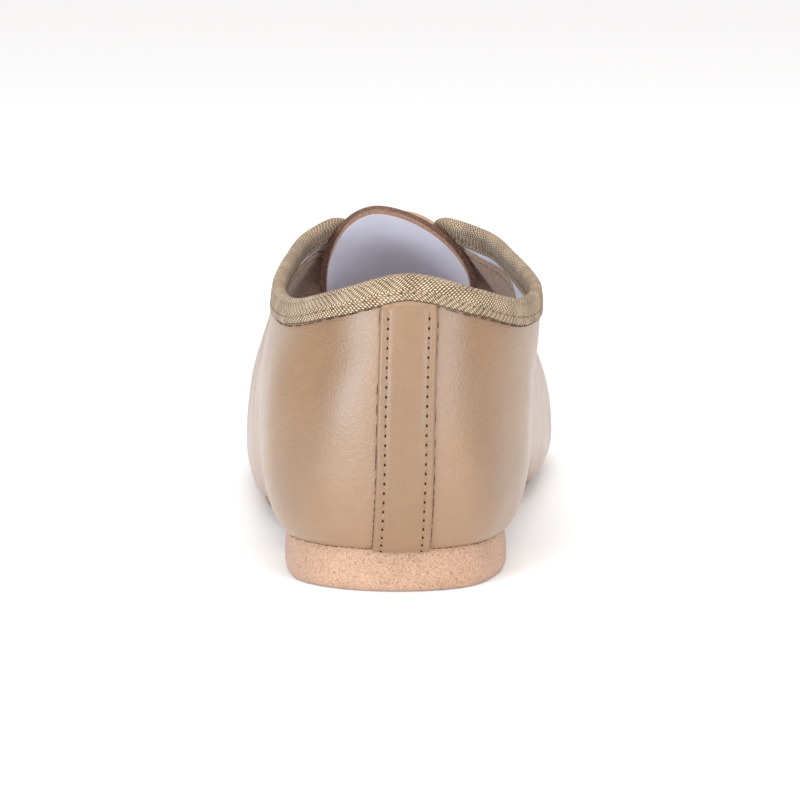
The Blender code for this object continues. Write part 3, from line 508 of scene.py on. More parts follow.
class Finish:
    """Builds one material's nodes."""

    def __init__(self, name, colour, roughness):
        self.material = bpy.data.materials.new(name)
        self.material.use_nodes = True
        self.nodes = self.material.node_tree.nodes
        self.links = self.material.node_tree.links
        self.shader = self.nodes["Principled BSDF"]
        self.shader.inputs["Base Color"].default_value = colour
        self.shader.inputs["Roughness"].default_value = roughness
        self.coords = self.nodes.new("ShaderNodeTexCoord")

    def put(self, socket, value):
        """Set an input to a value, or link it."""
        if isinstance(value, bpy.types.NodeSocket):
            self.links.new(value, socket)
        else:
            socket.default_value = value

    def set(self, **values):
        """Set plain values on the shader's own sockets."""
        names = {key.name.replace(" ", "_").lower(): key for key in self.shader.inputs}
        for name, value in values.items():
            names[name].default_value = value

    def stretch(self, scale):
        """Coordinates scaled along each axis."""
        node = self.nodes.new("ShaderNodeMapping")
        node.inputs["Scale"].default_value = scale
        self.links.new(self.coords.outputs["Object"], node.inputs["Vector"])
        return node.outputs["Vector"]

    def noise(self, size, detail=2.0, vector=None, rough=0.5):
        """Soft noise whose blotches are about this many metres wide."""
        node = self.nodes.new("ShaderNodeTexNoise")
        node.inputs["Scale"].default_value = 1 / size
        node.inputs["Detail"].default_value = detail
        node.inputs["Roughness"].default_value = rough
        self.links.new(vector or self.coords.outputs["Object"], node.inputs["Vector"])
        return node.outputs["Fac"]

    def cells(self, size, smoothness=None):
        """Distance to the nearest of many cell centres about this many metres apart."""
        node = self.nodes.new("ShaderNodeTexVoronoi")
        node.inputs["Scale"].default_value = 1 / size
        if smoothness is not None:
            node.feature = "SMOOTH_F1"
            node.inputs["Smoothness"].default_value = smoothness
        self.links.new(self.coords.outputs["Object"], node.inputs["Vector"])
        return node.outputs["Distance"]

    def math(self, kind, first, second=0.0, third=0.0):
        """One step of arithmetic."""
        node = self.nodes.new("ShaderNodeMath")
        node.operation = kind
        self.put(node.inputs[0], first)
        self.put(node.inputs[1], second)
        if kind == "MULTIPLY_ADD":
            self.put(node.inputs[2], third)
        return node.outputs[0]

    def times(self, first, second):
        """The product of two values."""
        return self.math("MULTIPLY", first, second)

    def wave(self, value):
        """Rise and fall between 0 and 1 once for each whole step of a value."""
        return self.math("MULTIPLY_ADD", self.math("COSINE", self.times(value, 2 * pi)), 0.5, 0.5)

    def span(self, value, low, high, to_low=0.0, to_high=1.0, kind="SMOOTHSTEP"):
        """Map a value from one span to another, held at the ends."""
        node = self.nodes.new("ShaderNodeMapRange")
        node.interpolation_type = kind
        self.put(node.inputs["Value"], value)
        node.inputs["From Min"].default_value = low
        node.inputs["From Max"].default_value = high
        node.inputs["To Min"].default_value = to_low
        node.inputs["To Max"].default_value = to_high
        return node.outputs["Result"]

    def vary(self, value, low, high):
        """Spread a noise's usual values over a span."""
        return self.span(value, NOISE_LOW, NOISE_HIGH, low, high)

    def blend(self, share, first, second):
        """Mix two colours."""
        node = self.nodes.new("ShaderNodeMix")
        node.data_type = "RGBA"
        self.put(node.inputs["Factor"], share)
        self.put(node.inputs[6], first)
        self.put(node.inputs[7], second)
        return node.outputs[2]

    def axes(self, source="Object"):
        """The three coordinates apart."""
        node = self.nodes.new("ShaderNodeSeparateXYZ")
        self.links.new(self.coords.outputs[source], node.inputs[0])
        return node.outputs

    def colour(self, value):
        """Link the base colour."""
        self.links.new(value, self.shader.inputs["Base Color"])

    def tint(self, colour, value):
        """Link the base colour, made lighter or deeper by a value."""
        hue = self.nodes.new("ShaderNodeHueSaturation")
        self.put(hue.inputs["Value"], value)
        self.put(hue.inputs["Color"], colour)
        self.colour(hue.outputs["Color"])

    def roughness(self, value):
        """Link the roughness."""
        self.links.new(value, self.shader.inputs["Roughness"])

    def bump(self, height, depth, strength):
        """Add relief of a depth in metres on top of any relief so far."""
        node = self.nodes.new("ShaderNodeBump")
        node.inputs["Strength"].default_value = strength
        node.inputs["Distance"].default_value = depth
        self.links.new(height, node.inputs["Height"])
        normal = self.shader.inputs["Normal"]
        if normal.is_linked:
            self.links.new(normal.links[0].from_socket, node.inputs["Normal"])
        self.links.new(node.outputs["Normal"], normal)


# Spread of a noise's usual values
NOISE_LOW = 0.3
NOISE_HIGH = 0.7

# Leather: sizes and depths of its marks, and the painted shade band down both quarters
FLECK_SIZE = 0.0035
DRIFT_SIZE = 0.03
PORE_SIZE = 0.00062
GRAIN_SIZE = 0.0006
GRAIN_DEPTH = 0.00013
WRINKLE_SIZE = 0.0016
WRINKLE_DEPTH = 0.00022
CROSS_LINE_SIZE = 0.0013
CROSS_LINE_DEPTH = 0.00012
SHADE_BAND_LOW = 0.020
SHADE_BAND_HIGH = 0.063
SHADE_BAND_LOW_ACROSS = 0.0245
SHADE_BAND_HIGH_ACROSS = 0.0145
SHADE_BAND_CORE = 0.0010
SHADE_BAND_REACH = 0.0105
SHADE_BAND_FOOT = 0.010
SHADE_BAND_FULL = 0.026
SHADE_BAND_FADE_START = -0.085
SHADE_BAND_FADE_END = -0.050

# Suede
NAP_SIZE = 0.00030
NAP_DEPTH = 0.00016
NAP_ROLL_SIZE = 0.0011
NAP_ROLL_DEPTH = 0.00012
CLOUD_SIZE = 0.012
SPECK_SHARE = 0.55

# Ribbon weave
WEAVE_HALF_WIDTH = 0.0029
RIB_PITCH = 0.00074
FLOAT_LENGTH = 0.00070
FLOAT_DEPTH = 0.00032
# Width of the painted shadow along the ribbon's lower outside edge.
EDGE_SHADE_WIDTH = 0.00030
WOBBLE_SIZE = 0.0024
WOBBLE_REACH = 0.00070
PATCH_SIZE = 0.005
FIBRE_SIZE = 0.0003
FIBRE_DEPTH = 0.00006

# Lining, thread and cord
KNIT_SIZE = 0.0005
KNIT_DEPTH = 0.00004
RUMPLE_SIZE = 0.0016
RUMPLE_DEPTH = 0.00010
STRAND_SIZE = 0.00035
STRAND_DEPTH = 0.00008
PLAIT_PITCH = 0.0011
PLAIT_DEPTH = 0.0002


def leather(name, colour, roughness, cross_lines=0.0, painted_shade_band=0.0):
    """Smooth full-grain leather with a soft satin finish; the painted shade band, of the given strength,
    darkens it down both quarters in place of the dim reflections there.
    """
    finish = Finish(name, colour, roughness)
    fleck = finish.noise(FLECK_SIZE, 3.0)
    drift = finish.noise(DRIFT_SIZE, 1.0)
    pores = finish.cells(PORE_SIZE, smoothness=0.5)
    value = finish.span(pores, 0.0, 0.34, 0.93, 1.0)
    value = finish.times(value, finish.vary(fleck, 0.975, 1.02))
    value = finish.times(value, finish.vary(drift, 0.97, 1.03))
    # Painted shade: a darker curved band down both quarters, standing in for the leather's reflection of dim
    # surroundings.
    if painted_shade_band:
        x, y, z = finish.axes()
        centre = finish.span(z, SHADE_BAND_LOW, SHADE_BAND_HIGH, SHADE_BAND_LOW_ACROSS, SHADE_BAND_HIGH_ACROSS)
        aside = finish.math("ABSOLUTE", finish.math("SUBTRACT", finish.math("ABSOLUTE", x), centre))
        painted_shade = finish.span(aside, SHADE_BAND_CORE, SHADE_BAND_REACH, 1.0, 0.0)
        painted_shade = finish.times(painted_shade, finish.span(z, SHADE_BAND_FOOT, SHADE_BAND_FULL))
        painted_shade = finish.times(painted_shade, finish.span(y, SHADE_BAND_FADE_START, SHADE_BAND_FADE_END, 1.0, 0.0))
        value = finish.times(value, finish.math("SUBTRACT", 1.0, finish.times(painted_shade, painted_shade_band)))
    finish.tint(colour, value)
    finish.roughness(finish.vary(fleck, roughness - 0.03, roughness + 0.05))
    wrinkle = finish.noise(WRINKLE_SIZE, 4.0, finish.stretch((1.0, 1.0, 1.6)))
    finish.bump(wrinkle, WRINKLE_DEPTH, 0.42)
    grain = finish.math("ADD", pores, finish.times(finish.noise(GRAIN_SIZE, 2.0), 0.6))
    finish.bump(grain, GRAIN_DEPTH, 0.8)
    if cross_lines:
        lines = finish.noise(CROSS_LINE_SIZE, 2.0, finish.stretch((0.16, 0.16, 2.2)))
        finish.bump(lines, CROSS_LINE_DEPTH, cross_lines)
    finish.set(coat_weight=0.55, coat_roughness=0.33, coat_ior=1.5, specular_ior_level=0.5)
    return finish.material


def suede(name, pale, deep, nap_size=NAP_SIZE):
    """Napped suede: fine light and dark specks, a soft sheen and no gloss."""
    finish = Finish(name, pale, 0.95)
    nap = finish.noise(nap_size, 2.0, rough=0.6)
    body = finish.blend(finish.span(nap, 0.36, 0.64, kind="LINEAR"), deep, pale)
    speck = finish.span(finish.noise(nap_size * 2.2, 1.0), 0.60, 0.68)
    body = finish.blend(finish.times(speck, SPECK_SHARE), body, tone(148, 104, 82))
    finish.tint(body, finish.vary(finish.noise(CLOUD_SIZE, 3.0), 0.95, 1.04))
    finish.bump(nap, NAP_DEPTH, 0.7)
    finish.bump(finish.noise(NAP_ROLL_SIZE, 2.0), NAP_ROLL_DEPTH, 0.4)
    finish.set(specular_ior_level=0.15, sheen_weight=0.20, sheen_roughness=0.6)
    return finish.material


def twill(name, light, mid, dark):
    """Herringbone ribbon: rows of short raised floats that lean both ways along the strip."""
    finish = Finish(name, mid, 0.85)
    u, v, _ = finish.axes("UV")
    wobble = finish.times(finish.math("SUBTRACT", finish.noise(WOBBLE_SIZE, 2.0), 0.5), WOBBLE_REACH)
    across = finish.math("PINGPONG", v, WEAVE_HALF_WIDTH)
    slant = finish.math("ADD", finish.math("ADD", u, across), wobble)
    turns = finish.math("DIVIDE", slant, RIB_PITCH)
    rib = finish.wave(turns)
    row = finish.math("FLOOR", finish.math("ADD", turns, 0.5))
    pick = finish.wave(finish.math("MULTIPLY_ADD", row, 0.5, finish.math("DIVIDE", v, FLOAT_LENGTH)))
    pick = finish.math("MULTIPLY_ADD", finish.math("POWER", pick, 0.6), 0.80, 0.20)
    height = finish.times(finish.math("POWER", rib, 0.6), pick)
    patch = finish.math("SUBTRACT", finish.noise(PATCH_SIZE, 2.0), 0.5)
    # Painted highlight and shade: the floats' tops turn pale and the gaps between them dark, following the
    # relief, over random patches of tone.
    patches_and_highlight = finish.math("MULTIPLY_ADD", patch, 0.45, height)
    base = finish.blend(finish.span(patches_and_highlight, 0.05, 0.42), dark, mid)
    body = finish.blend(finish.span(patches_and_highlight, 0.46, 0.88), base, light)
    # Painted shadow: the lower outside edge of the ribbon is darkened where it lies on the leather.
    edge_shade = finish.times(finish.span(v, EDGE_SHADE_WIDTH * 0.4, EDGE_SHADE_WIDTH, 1.0, 0.0), 0.85)
    finish.colour(finish.blend(edge_shade, body, dark))
    finish.bump(height, FLOAT_DEPTH, 1.0)
    finish.bump(finish.noise(FIBRE_SIZE, 2.0), FIBRE_DEPTH, 0.4)
    finish.set(specular_ior_level=0.30, sheen_weight=0.12, sheen_roughness=0.5)
    return finish.material


def lining(name, pale, shade):
    """Smooth pale lining with a faint cloudy tone and a fine knit."""
    finish = Finish(name, pale, 0.55)
    finish.colour(finish.blend(finish.vary(finish.noise(0.009, 3.0), 0.0, 0.45), pale, shade))
    finish.bump(finish.noise(RUMPLE_SIZE, 3.0), RUMPLE_DEPTH, 0.5)
    finish.bump(finish.cells(KNIT_SIZE), KNIT_DEPTH, 0.5)
    finish.set(specular_ior_level=0.4)
    return finish.material


def thread(name, light, dark):
    """Twisted sewing thread."""
    finish = Finish(name, light, 0.8)
    strands = finish.noise(STRAND_SIZE, 2.0)
    finish.colour(finish.blend(finish.span(strands, 0.35, 0.65), dark, light))
    finish.bump(strands, STRAND_DEPTH, 0.8)
    finish.set(specular_ior_level=0.25)
    return finish.material


def braid(name, light, dark):
    """Braided lace: plaited bumps round and along the cord."""
    finish = Finish(name, light, 0.85)
    u, v, _ = finish.axes("UV")
    left, right = (
        finish.math("SINE", finish.times(finish.math(kind, u, v), 2 * pi / PLAIT_PITCH))
        for kind in ("ADD", "SUBTRACT")
    )
    plait = finish.math("MULTIPLY_ADD", finish.times(left, right), 0.5, 0.5)
    finish.colour(finish.blend(finish.span(plait, 0.1, 0.7), dark, light))
    finish.bump(plait, PLAIT_DEPTH, 0.9)
    finish.set(specular_ior_level=0.25, sheen_weight=0.15, sheen_roughness=0.5)
    return finish.material


def plain_metal(name, colour):
    """Plated brass with a few faint scratches."""
    finish = Finish(name, colour, 0.28)
    finish.roughness(finish.vary(finish.noise(0.0012, 3.0), 0.18, 0.36))
    finish.bump(finish.noise(0.0009, 2.0), 0.00002, 0.4)
    finish.set(metallic=1.0)
    return finish.material


def dark_hole(name):
    """The shadowed inside of a needle hole."""
    finish = Finish(name, tone(46, 26, 18), 0.9)
    finish.colour(finish.blend(finish.noise(0.0004), tone(34, 18, 12), tone(72, 42, 28)))
    finish.set(specular_ior_level=0.1)
    return finish.material


def matt_floor(name):
    """Plain white floor, lit a little from below as on a photographer's table."""
    finish = Finish(name, tone(250, 250, 250), 0.9)
    finish.colour(finish.blend(finish.noise(0.6), tone(250, 250, 251), tone(252, 252, 252)))
    finish.set(specular_ior_level=0.0, emission_color=(1.0, 1.0, 1.0, 1.0), emission_strength=FLOOR_GLOW)
    return finish.material


# Meshes: grids, tubes and closed shells

SHARP_ANGLE = 50


def new_piece(name, points, faces, surfaces, choices=None, uvs=None):
    """Object with smooth faces that rides on the shoe's only body."""
    mesh = bpy.data.meshes.new(name)
    mesh.from_pydata([tuple(spot) for spot in points], [], faces)
    for surface in surfaces:
        mesh.materials.append(surface)
    if choices is not None:
        mesh.polygons.foreach_set("material_index", choices)
    if uvs is not None:
        layer = mesh.uv_layers.new(name="run")
        layer.data.foreach_set("uv", [value for pair in uvs for value in pair])
    mesh.validate()
    mesh.shade_smooth()
    mesh.set_sharp_from_angle(angle=radians(SHARP_ANGLE))
    made = bpy.data.objects.new(name, mesh)
    bpy.context.scene.collection.objects.link(made)
    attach(made, "root")
    return made


def faces_outward(made):
    """Turn every face of a closed mesh outwards."""
    shell = bmesh.new()
    shell.from_mesh(made.data)
    bmesh.ops.recalc_face_normals(shell, faces=shell.faces)
    shell.to_mesh(made.data)
    shell.free()


def grid_normals(points):
    """Normals of a grid of points whose first axis wraps round."""
    along = np.roll(points, -1, axis=0) - np.roll(points, 1, axis=0)
    climb = np.gradient(points, axis=1)
    normals = np.cross(climb, along)
    size = np.linalg.norm(normals, axis=2, keepdims=True)
    return normals / np.maximum(size, 1e-12)


def grid_faces(columns, rows, turned=False):
    """Faces of a grid whose points run row by row inside each column."""
    faces = []
    for i in range(columns - 1):
        for j in range(rows - 1):
            a = i * rows + j
            face = (a, a + 1, a + rows + 1, a + rows)
            faces.append(tuple(reversed(face)) if turned else face)
    return faces


def closed_shell(name, faces, outer, inner, surfaces, inside_choice=0):
    """Close two like skins along their open edges; the inner skin may take another surface."""
    count = len(outer)
    directed = set()
    for face in faces:
        for i, corner in enumerate(face):
            directed.add((corner, face[(i + 1) % len(face)]))
    walls = [(b, a, a + count, b + count) for a, b in sorted(directed) if (b, a) not in directed]
    inside = [tuple(corner + count for corner in reversed(face)) for face in faces]
    choices = [0] * len(faces) + [inside_choice] * len(inside) + [0] * len(walls)
    made = new_piece(name, [*outer, *inner], [*faces, *inside, *walls], surfaces, choices)
    faces_outward(made)
    return made


def sweep_faces(stations, size):
    """Faces of a closed section carried along stations, with a cap on both ends."""
    faces = []
    for i in range(stations - 1):
        for j in range(size):
            k = (j + 1) % size
            faces.append((i * size + j, i * size + k, (i + 1) * size + k, (i + 1) * size + j))
    faces.append(tuple(reversed(range(size))))
    faces.append(tuple(range((stations - 1) * size, stations * size)))
    return faces


def run_along(path):
    """Distance from a path's start at each of its points."""
    runs = [0.0]
    for before, after in zip(path, path[1:]):
        runs.append(runs[-1] + (after - before).length)
    return runs


def curves_through(knots, spots):
    """Smooth curves through points, one for each axis."""
    return [Curve(knots, [spot[axis] for spot in spots]) for axis in range(3)]


def lifted(places, height):
    """Path at a height over points of a surface, with the surface's normals."""
    return [spot + normal * height for spot, normal in places], [normal for _, normal in places]


def bell(distance, width):
    """A soft bump: 1 at no distance, falling away within a width."""
    return float(np.exp(-((distance / width) ** 2)))


def tube(path, radii, sides, points, faces, uvs=None):
    """Add a tube with closed ends along a path, with one radius or a list of them."""
    start = len(points)
    if not isinstance(radii, list):
        radii = [radii] * len(path)
    runs = run_along(path)
    side_way = None
    for i, spot in enumerate(path):
        ahead = (path[min(i + 1, len(path) - 1)] - path[max(i - 1, 0)]).normalized()
        if side_way is None:
            side_way = ahead.orthogonal().normalized()
        side_way = (side_way - ahead * side_way.dot(ahead)).normalized()
        lift_way = ahead.cross(side_way)
        for j in range(sides):
            turn = 2 * pi * j / sides
            points.append(spot + side_way * cos(turn) * radii[i] + lift_way * sin(turn) * radii[i])
    width = 2 * pi * radii[0] / sides
    for i in range(len(path) - 1):
        for j in range(sides):
            k = (j + 1) % sides
            a = start + i * sides
            b = a + sides
            faces.append((a + j, a + k, b + k, b + j))
            if uvs is not None:
                uvs += [(runs[i], j * width), (runs[i], (j + 1) * width),
                        (runs[i + 1], (j + 1) * width), (runs[i + 1], j * width)]
    faces.append(tuple(start + j for j in reversed(range(sides))))
    faces.append(tuple(start + (len(path) - 1) * sides + j for j in range(sides)))
    if uvs is not None:
        uvs += [(0.0, 0.0)] * (2 * sides)


# The upper

Crease = namedtuple("Crease", "side share level to_share to_level bow width depth")
CREASES = (
    Crease(LATERAL, 0.085, 2.86, 0.115, 2.02, 0.010, 0.0060, 0.00042),
    Crease(MEDIAL, 0.080, 2.84, 0.120, 2.05, 0.012, 0.0065, 0.00045),
    Crease(LATERAL, 0.175, 2.80, 0.150, 1.75, -0.012, 0.0070, 0.00038),
    Crease(MEDIAL, 0.185, 2.82, 0.165, 1.80, -0.012, 0.0070, 0.00040),
    Crease(LATERAL, 0.390, 2.70, 0.420, 2.05, 0.010, 0.0040, 0.00040),
    Crease(MEDIAL, 0.380, 2.72, 0.425, 2.00, 0.012, 0.0040, 0.00045),
    Crease(LATERAL, 0.455, 2.55, 0.490, 2.02, 0.008, 0.0030, 0.00038),
    Crease(MEDIAL, 0.465, 2.60, 0.500, 2.02, 0.008, 0.0032, 0.00040),
    Crease(LATERAL, 0.700, 2.93, 0.640, 2.35, 0.012, 0.0022, 0.00040),
    Crease(MEDIAL, 0.705, 2.95, 0.650, 2.30, 0.012, 0.0022, 0.00042),
    Crease(LATERAL, 0.735, 2.96, 0.680, 2.22, 0.014, 0.0026, 0.00034),
    Crease(MEDIAL, 0.730, 2.90, 0.690, 2.25, 0.014, 0.0024, 0.00036),
    Crease(LATERAL, 0.365, 1.15, 0.372, 1.70, 0.004, 0.0030, 0.00014),
    Crease(MEDIAL, 0.375, 1.10, 0.385, 1.75, 0.004, 0.0030, 0.00015),
)
CREASE_FADE = 0.6
CREASE_RIDGE = 0.35
CREASE_RIDGE_AT = 1.9

# Size, height and seed of the leather's unevenness, and the rows over which it eases out
BROAD_UNEVENNESS = (0.016, 0.00022, 3.0)
FINE_UNEVENNESS = (0.0075, 0.00008, 8.0)
EDGE_EASE_ROWS = 6
FOOT_EASE_ROWS = 5


def crease_depth(points, crease):
    """Offset of each point for one crease: a soft trough with a lower ridge on both sides."""
    steps = 9
    path = []
    for k in range(steps):
        t = k / (steps - 1)
        share = crease.share + (crease.to_share - crease.share) * t + crease.bow * sin(pi * t)
        level = crease.level + (crease.to_level - crease.level) * t
        path.append(np.array(last(crease.side, share, level)))
    nearest = np.full(points.shape[:-1], 1.0)
    place = np.zeros(points.shape[:-1])
    for k in range(steps - 1):
        run = path[k + 1] - path[k]
        t = np.clip(((points - path[k]) @ run) / (run @ run), 0.0, 1.0)
        gap = np.linalg.norm(points - path[k] - t[..., None] * run, axis=-1)
        closer = gap < nearest
        nearest = np.where(closer, gap, nearest)
        place = np.where(closer, (k + t) / (steps - 1), place)
    fade = np.sin(pi * np.clip(place, 0.0, 1.0)) ** CREASE_FADE
    trough = np.exp(-((nearest / crease.width) ** 2))
    ridge = np.exp(-(((nearest - CREASE_RIDGE_AT * crease.width) / crease.width) ** 2))
    return crease.depth * fade * (CREASE_RIDGE * ridge - trough)


def soft_noise(points, size, amplitude, seed):
    """Gentle unevenness."""
    flat = points.reshape(-1, 3)
    values = [noise.noise(Vector(spot) / size + Vector((seed, seed, seed))) for spot in flat]
    return amplitude * np.array(values).reshape(points.shape[:-1])


def row_level(row):
    """Level of a row of the upper's grid."""
    if row <= MARGIN_ROWS:
        return row / MARGIN_ROWS
    if row <= MARGIN_ROWS + TURN_ROWS:
        return 1 + (row - MARGIN_ROWS) / TURN_ROWS
    return 3 - (1 - (row - MARGIN_ROWS - TURN_ROWS) / SIDE_ROWS) ** SIDE_EASE


def ring_column(index):
    """Side and share of a column counted round the whole foot."""
    if index <= COLUMNS:
        return LATERAL, index / COLUMNS
    return MEDIAL, (2 * COLUMNS - index) / COLUMNS


def make_upper():
    """Vamp and quarters of leather over a pale lining, with the holes for the eyelets."""
    # The outside leather carries a painted shade band down both quarters.
    outside = leather("upper_leather_fine", tone(153, 117, 86), 0.38, painted_shade_band=0.13)
    inside = lining("lining_fine", tone(240, 238, 243), tone(226, 224, 232))
    ring = 2 * COLUMNS
    rows = MARGIN_ROWS + TURN_ROWS + SIDE_ROWS
    points = np.array([
        [tuple(last(*ring_column(i), row_level(j))) for j in range(rows + 1)] for i in range(ring)
    ])
    normals = grid_normals(points)
    for i in range(THROAT_COLUMN + 1, COLUMNS):
        joint = normals[i, rows] + normals[ring - i, rows]
        joint /= np.linalg.norm(joint)
        normals[i, rows] = joint
        normals[ring - i, rows] = joint
    offset = soft_noise(points, *BROAD_UNEVENNESS) + soft_noise(points, *FINE_UNEVENNESS)
    for crease in CREASES:
        offset += crease_depth(points, crease)
    ease = np.clip((rows - np.arange(rows + 1)) / EDGE_EASE_ROWS, 0.0, 1.0)
    edge_ease = np.ones((ring, rows + 1))
    for i in range(ring):
        if min(i, ring - i) <= THROAT_COLUMN:
            edge_ease[i] = ease
    foot_ease = np.clip((np.arange(rows + 1) - MARGIN_ROWS) / FOOT_EASE_ROWS, 0.0, 1.0)
    offset = offset * edge_ease * foot_ease[None, :]
    for i in range(THROAT_COLUMN + 1, COLUMNS):
        shared = (offset[i, rows] + offset[ring - i, rows]) / 2
        offset[i, rows] = shared
        offset[ring - i, rows] = shared
    outer = points + normals * offset[..., None]
    inner = outer - normals * WALL
    closed_seam = {k for k in range(COLUMNS + 1) if arch_closed(k / COLUMNS) == 1.0}
    keys = {}
    outer_points = []
    inner_points = []

    def corner(index, row):
        """Index of a grid point, shared where both sides meet."""
        index %= ring
        twin = (ring - index) % ring
        column = min(index, ring - index)
        if (row == rows and column > THROAT_COLUMN) or (row == 0 and column in closed_seam):
            index = min(index, twin)
        if (index, row) not in keys:
            keys[(index, row)] = len(outer_points)
            shared = column > THROAT_COLUMN and row == rows
            for skin_points, kept in ((outer, outer_points), (inner, inner_points)):
                spot = skin_points[index, row]
                kept.append(tuple((spot + skin_points[twin, row]) / 2 if shared else spot))
        return keys[(index, row)]

    grid = [[corner(i, j) for j in range(rows + 1)] for i in range(ring)]
    faces = []
    for i in range(ring):
        k = (i + 1) % ring
        for j in range(rows):
            faces.append((grid[i][j], grid[i][j + 1], grid[k][j + 1], grid[k][j]))
    upper = closed_shell("upper_leather_shell", faces, outer_points, inner_points, [outside, inside], 1)
    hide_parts("upper")
    cut_holes(upper)


def cut_holes(upper):
    """Round holes for the eyelets' barrels."""
    joined = bmesh.new()
    for side in (LATERAL, MEDIAL):
        for pair in range(EYELET_PAIRS):
            share = eyelet_share(pair)
            level = eyelet_place(side, share)
            turn = outward(side, share, level).to_track_quat("Z", "Y").to_matrix().to_4x4()
            turn.translation = last(side, share, level)
            bmesh.ops.create_cone(joined, cap_ends=True, segments=28, radius1=EYELET_BARREL,
                                  radius2=EYELET_BARREL, depth=6 * WALL, matrix=turn)
    mesh = bpy.data.meshes.new("eyelet_holes")
    joined.to_mesh(mesh)
    joined.free()
    cutter = bpy.data.objects.new("eyelet_holes", mesh)
    bpy.context.scene.collection.objects.link(cutter)
    cut = upper.modifiers.new("eyelet_holes", "BOOLEAN")
    cut.object = cutter
    cut.operation = "DIFFERENCE"
    bpy.context.view_layer.update()
    finished = bpy.data.meshes.new_from_object(upper.evaluated_get(bpy.context.evaluated_depsgraph_get()))
    upper.modifiers.clear()
    upper.data = finished
    bpy.data.objects.remove(cutter)


# Stitches

STITCH_PITCH = 0.0023
RIBBON_STITCH_PITCH = 0.0030
RIBBON_HOLE_SIZE = 0.85
BACKING_STITCH_PITCH = 0.0028
STITCH_RADIUS = 0.00019
HOLE_RADIUS = 0.00030
HOLE_LIFT = 0.00012
STITCH_SUNK = 0.25
STITCH_ARCH = 1.6
STITCH_START = 0.20
STITCH_END = 0.80
STITCH_POINTS = 6
HOLE_SIDES = 10
HOLE_ALONG = 1.25
HOLE_ACROSS = 0.85
HOLE_DISH = 0.8


def stitch_row(path, normals, points, faces, holes, hole_faces, pitch, hole_size):
    """Threads that dip into dark needle holes along a path."""
    runs = run_along(path)

    def place(run):
        """Point and normal at a distance along the path."""
        k = 0
        while k < len(runs) - 2 and runs[k + 1] < run:
            k += 1
        t = (run - runs[k]) / max(1e-9, runs[k + 1] - runs[k])
        return path[k].lerp(path[k + 1], t), normals[k].lerp(normals[k + 1], t).normalized()

    for n in range(int(runs[-1] / pitch)):
        start = (n + STITCH_START) * pitch
        end = (n + STITCH_END) * pitch
        track = []
        for k in range(STITCH_POINTS):
            t = k / (STITCH_POINTS - 1)
            spot, normal = place(start + (end - start) * t)
            lift = STITCH_RADIUS * (STITCH_ARCH * sin(pi * t) ** 0.5 - 1.0 - STITCH_SUNK)
            track.append(spot + normal * lift)
        tube(track, STITCH_RADIUS, 6, points, faces)
        spot, normal = place(n * pitch)
        ahead = (place(min(n * pitch + 0.0004, runs[-1]))[0] - spot).normalized()
        side_way = ahead.cross(normal).normalized()
        first = len(holes)
        for j in range(HOLE_SIDES):
            turn = 2 * pi * j / HOLE_SIDES
            way = ahead * cos(turn) * HOLE_ALONG + side_way * sin(turn) * HOLE_ACROSS
            holes.append(spot + way * HOLE_RADIUS * hole_size + normal * HOLE_LIFT)
        holes.append(spot + normal * HOLE_LIFT * HOLE_DISH)
        for j in range(HOLE_SIDES):
            hole_faces.append((first + j, first + (j + 1) % HOLE_SIDES, first + HOLE_SIDES))


def make_stitches(name, rows, surface, hole_surface, pitch=STITCH_PITCH, hole_size=1.0):
    """All the stitches of a seam, and their needle holes, as two joined meshes."""
    points = []
    faces = []
    holes = []
    hole_faces = []
    for path, normals in rows:
        stitch_row(path, normals, points, faces, holes, hole_faces, pitch, hole_size)
    new_piece(name, points, faces, [surface])
    new_piece(f"{name}_holes", holes, hole_faces, [hole_surface])


# The strip over the back seam

STAY_ROWS = 150
STAY_COLUMNS = 37
STAY_SEAM_INSET = 0.0021
STAY_EDGE = 0.0007
STAY_TUCK = 0.0006
STAY_TOP_EASE = 0.028
STAY_TOP_LEAST = 0.42
STAY_SINK = 0.0002
STAY_UNEVENNESS = 0.00006
STAY_UNEVEN_SIZE = 0.004
STAY_DIP = 0.00022
STAY_ROLL = 0.00010
STAY_ROLL_INSET = 0.0011
STAY_SEAM_WIDTH = 0.0006
STAY_SEAM_STEPS = 60
STAY_SHADOW_AT = 1.02
STAY_SHADOW_LIFT = 0.00004


def stay_surface(t, climb):
    """Point on the leather under the strip and its normal: t runs -1 to 1 across, climb 0 to 1 upwards."""
    place = STAY_WIDTH * t / 2
    top_side = LATERAL if place + STAY_LEAN < 0 else MEDIAL
    top_share = share_at(top_side, 3, abs(place + STAY_LEAN))
    tucked = column_run(top_side, top_share, BINDING_WIDTH) - STAY_TUCK
    highest = level_below_edge(top_side, top_share, tucked)
    level = STAY_LOWEST + (highest - STAY_LOWEST) * climb
    across = place + STAY_LEAN * climb
    side = LATERAL if across < 0 else MEDIAL
    share = share_at(side, level, abs(across))
    return last(side, share, level), outward(side, share, level)


def stay_height(t):
    """Thickness of the strip across it: rolled edges, a dip along each seam and a flat middle."""
    inset = (1 - abs(t)) * STAY_WIDTH / 2
    edge = sqrt(max(0.0, 1 - (1 - min(inset / STAY_EDGE, 1.0)) ** 2))
    dip = STAY_DIP * bell(inset - STAY_SEAM_INSET, STAY_SEAM_WIDTH)
    roll = STAY_ROLL * bell(inset - STAY_ROLL_INSET, STAY_SEAM_WIDTH)
    return (STAY_THICKNESS + GAP * 0.6) * edge - dip + roll


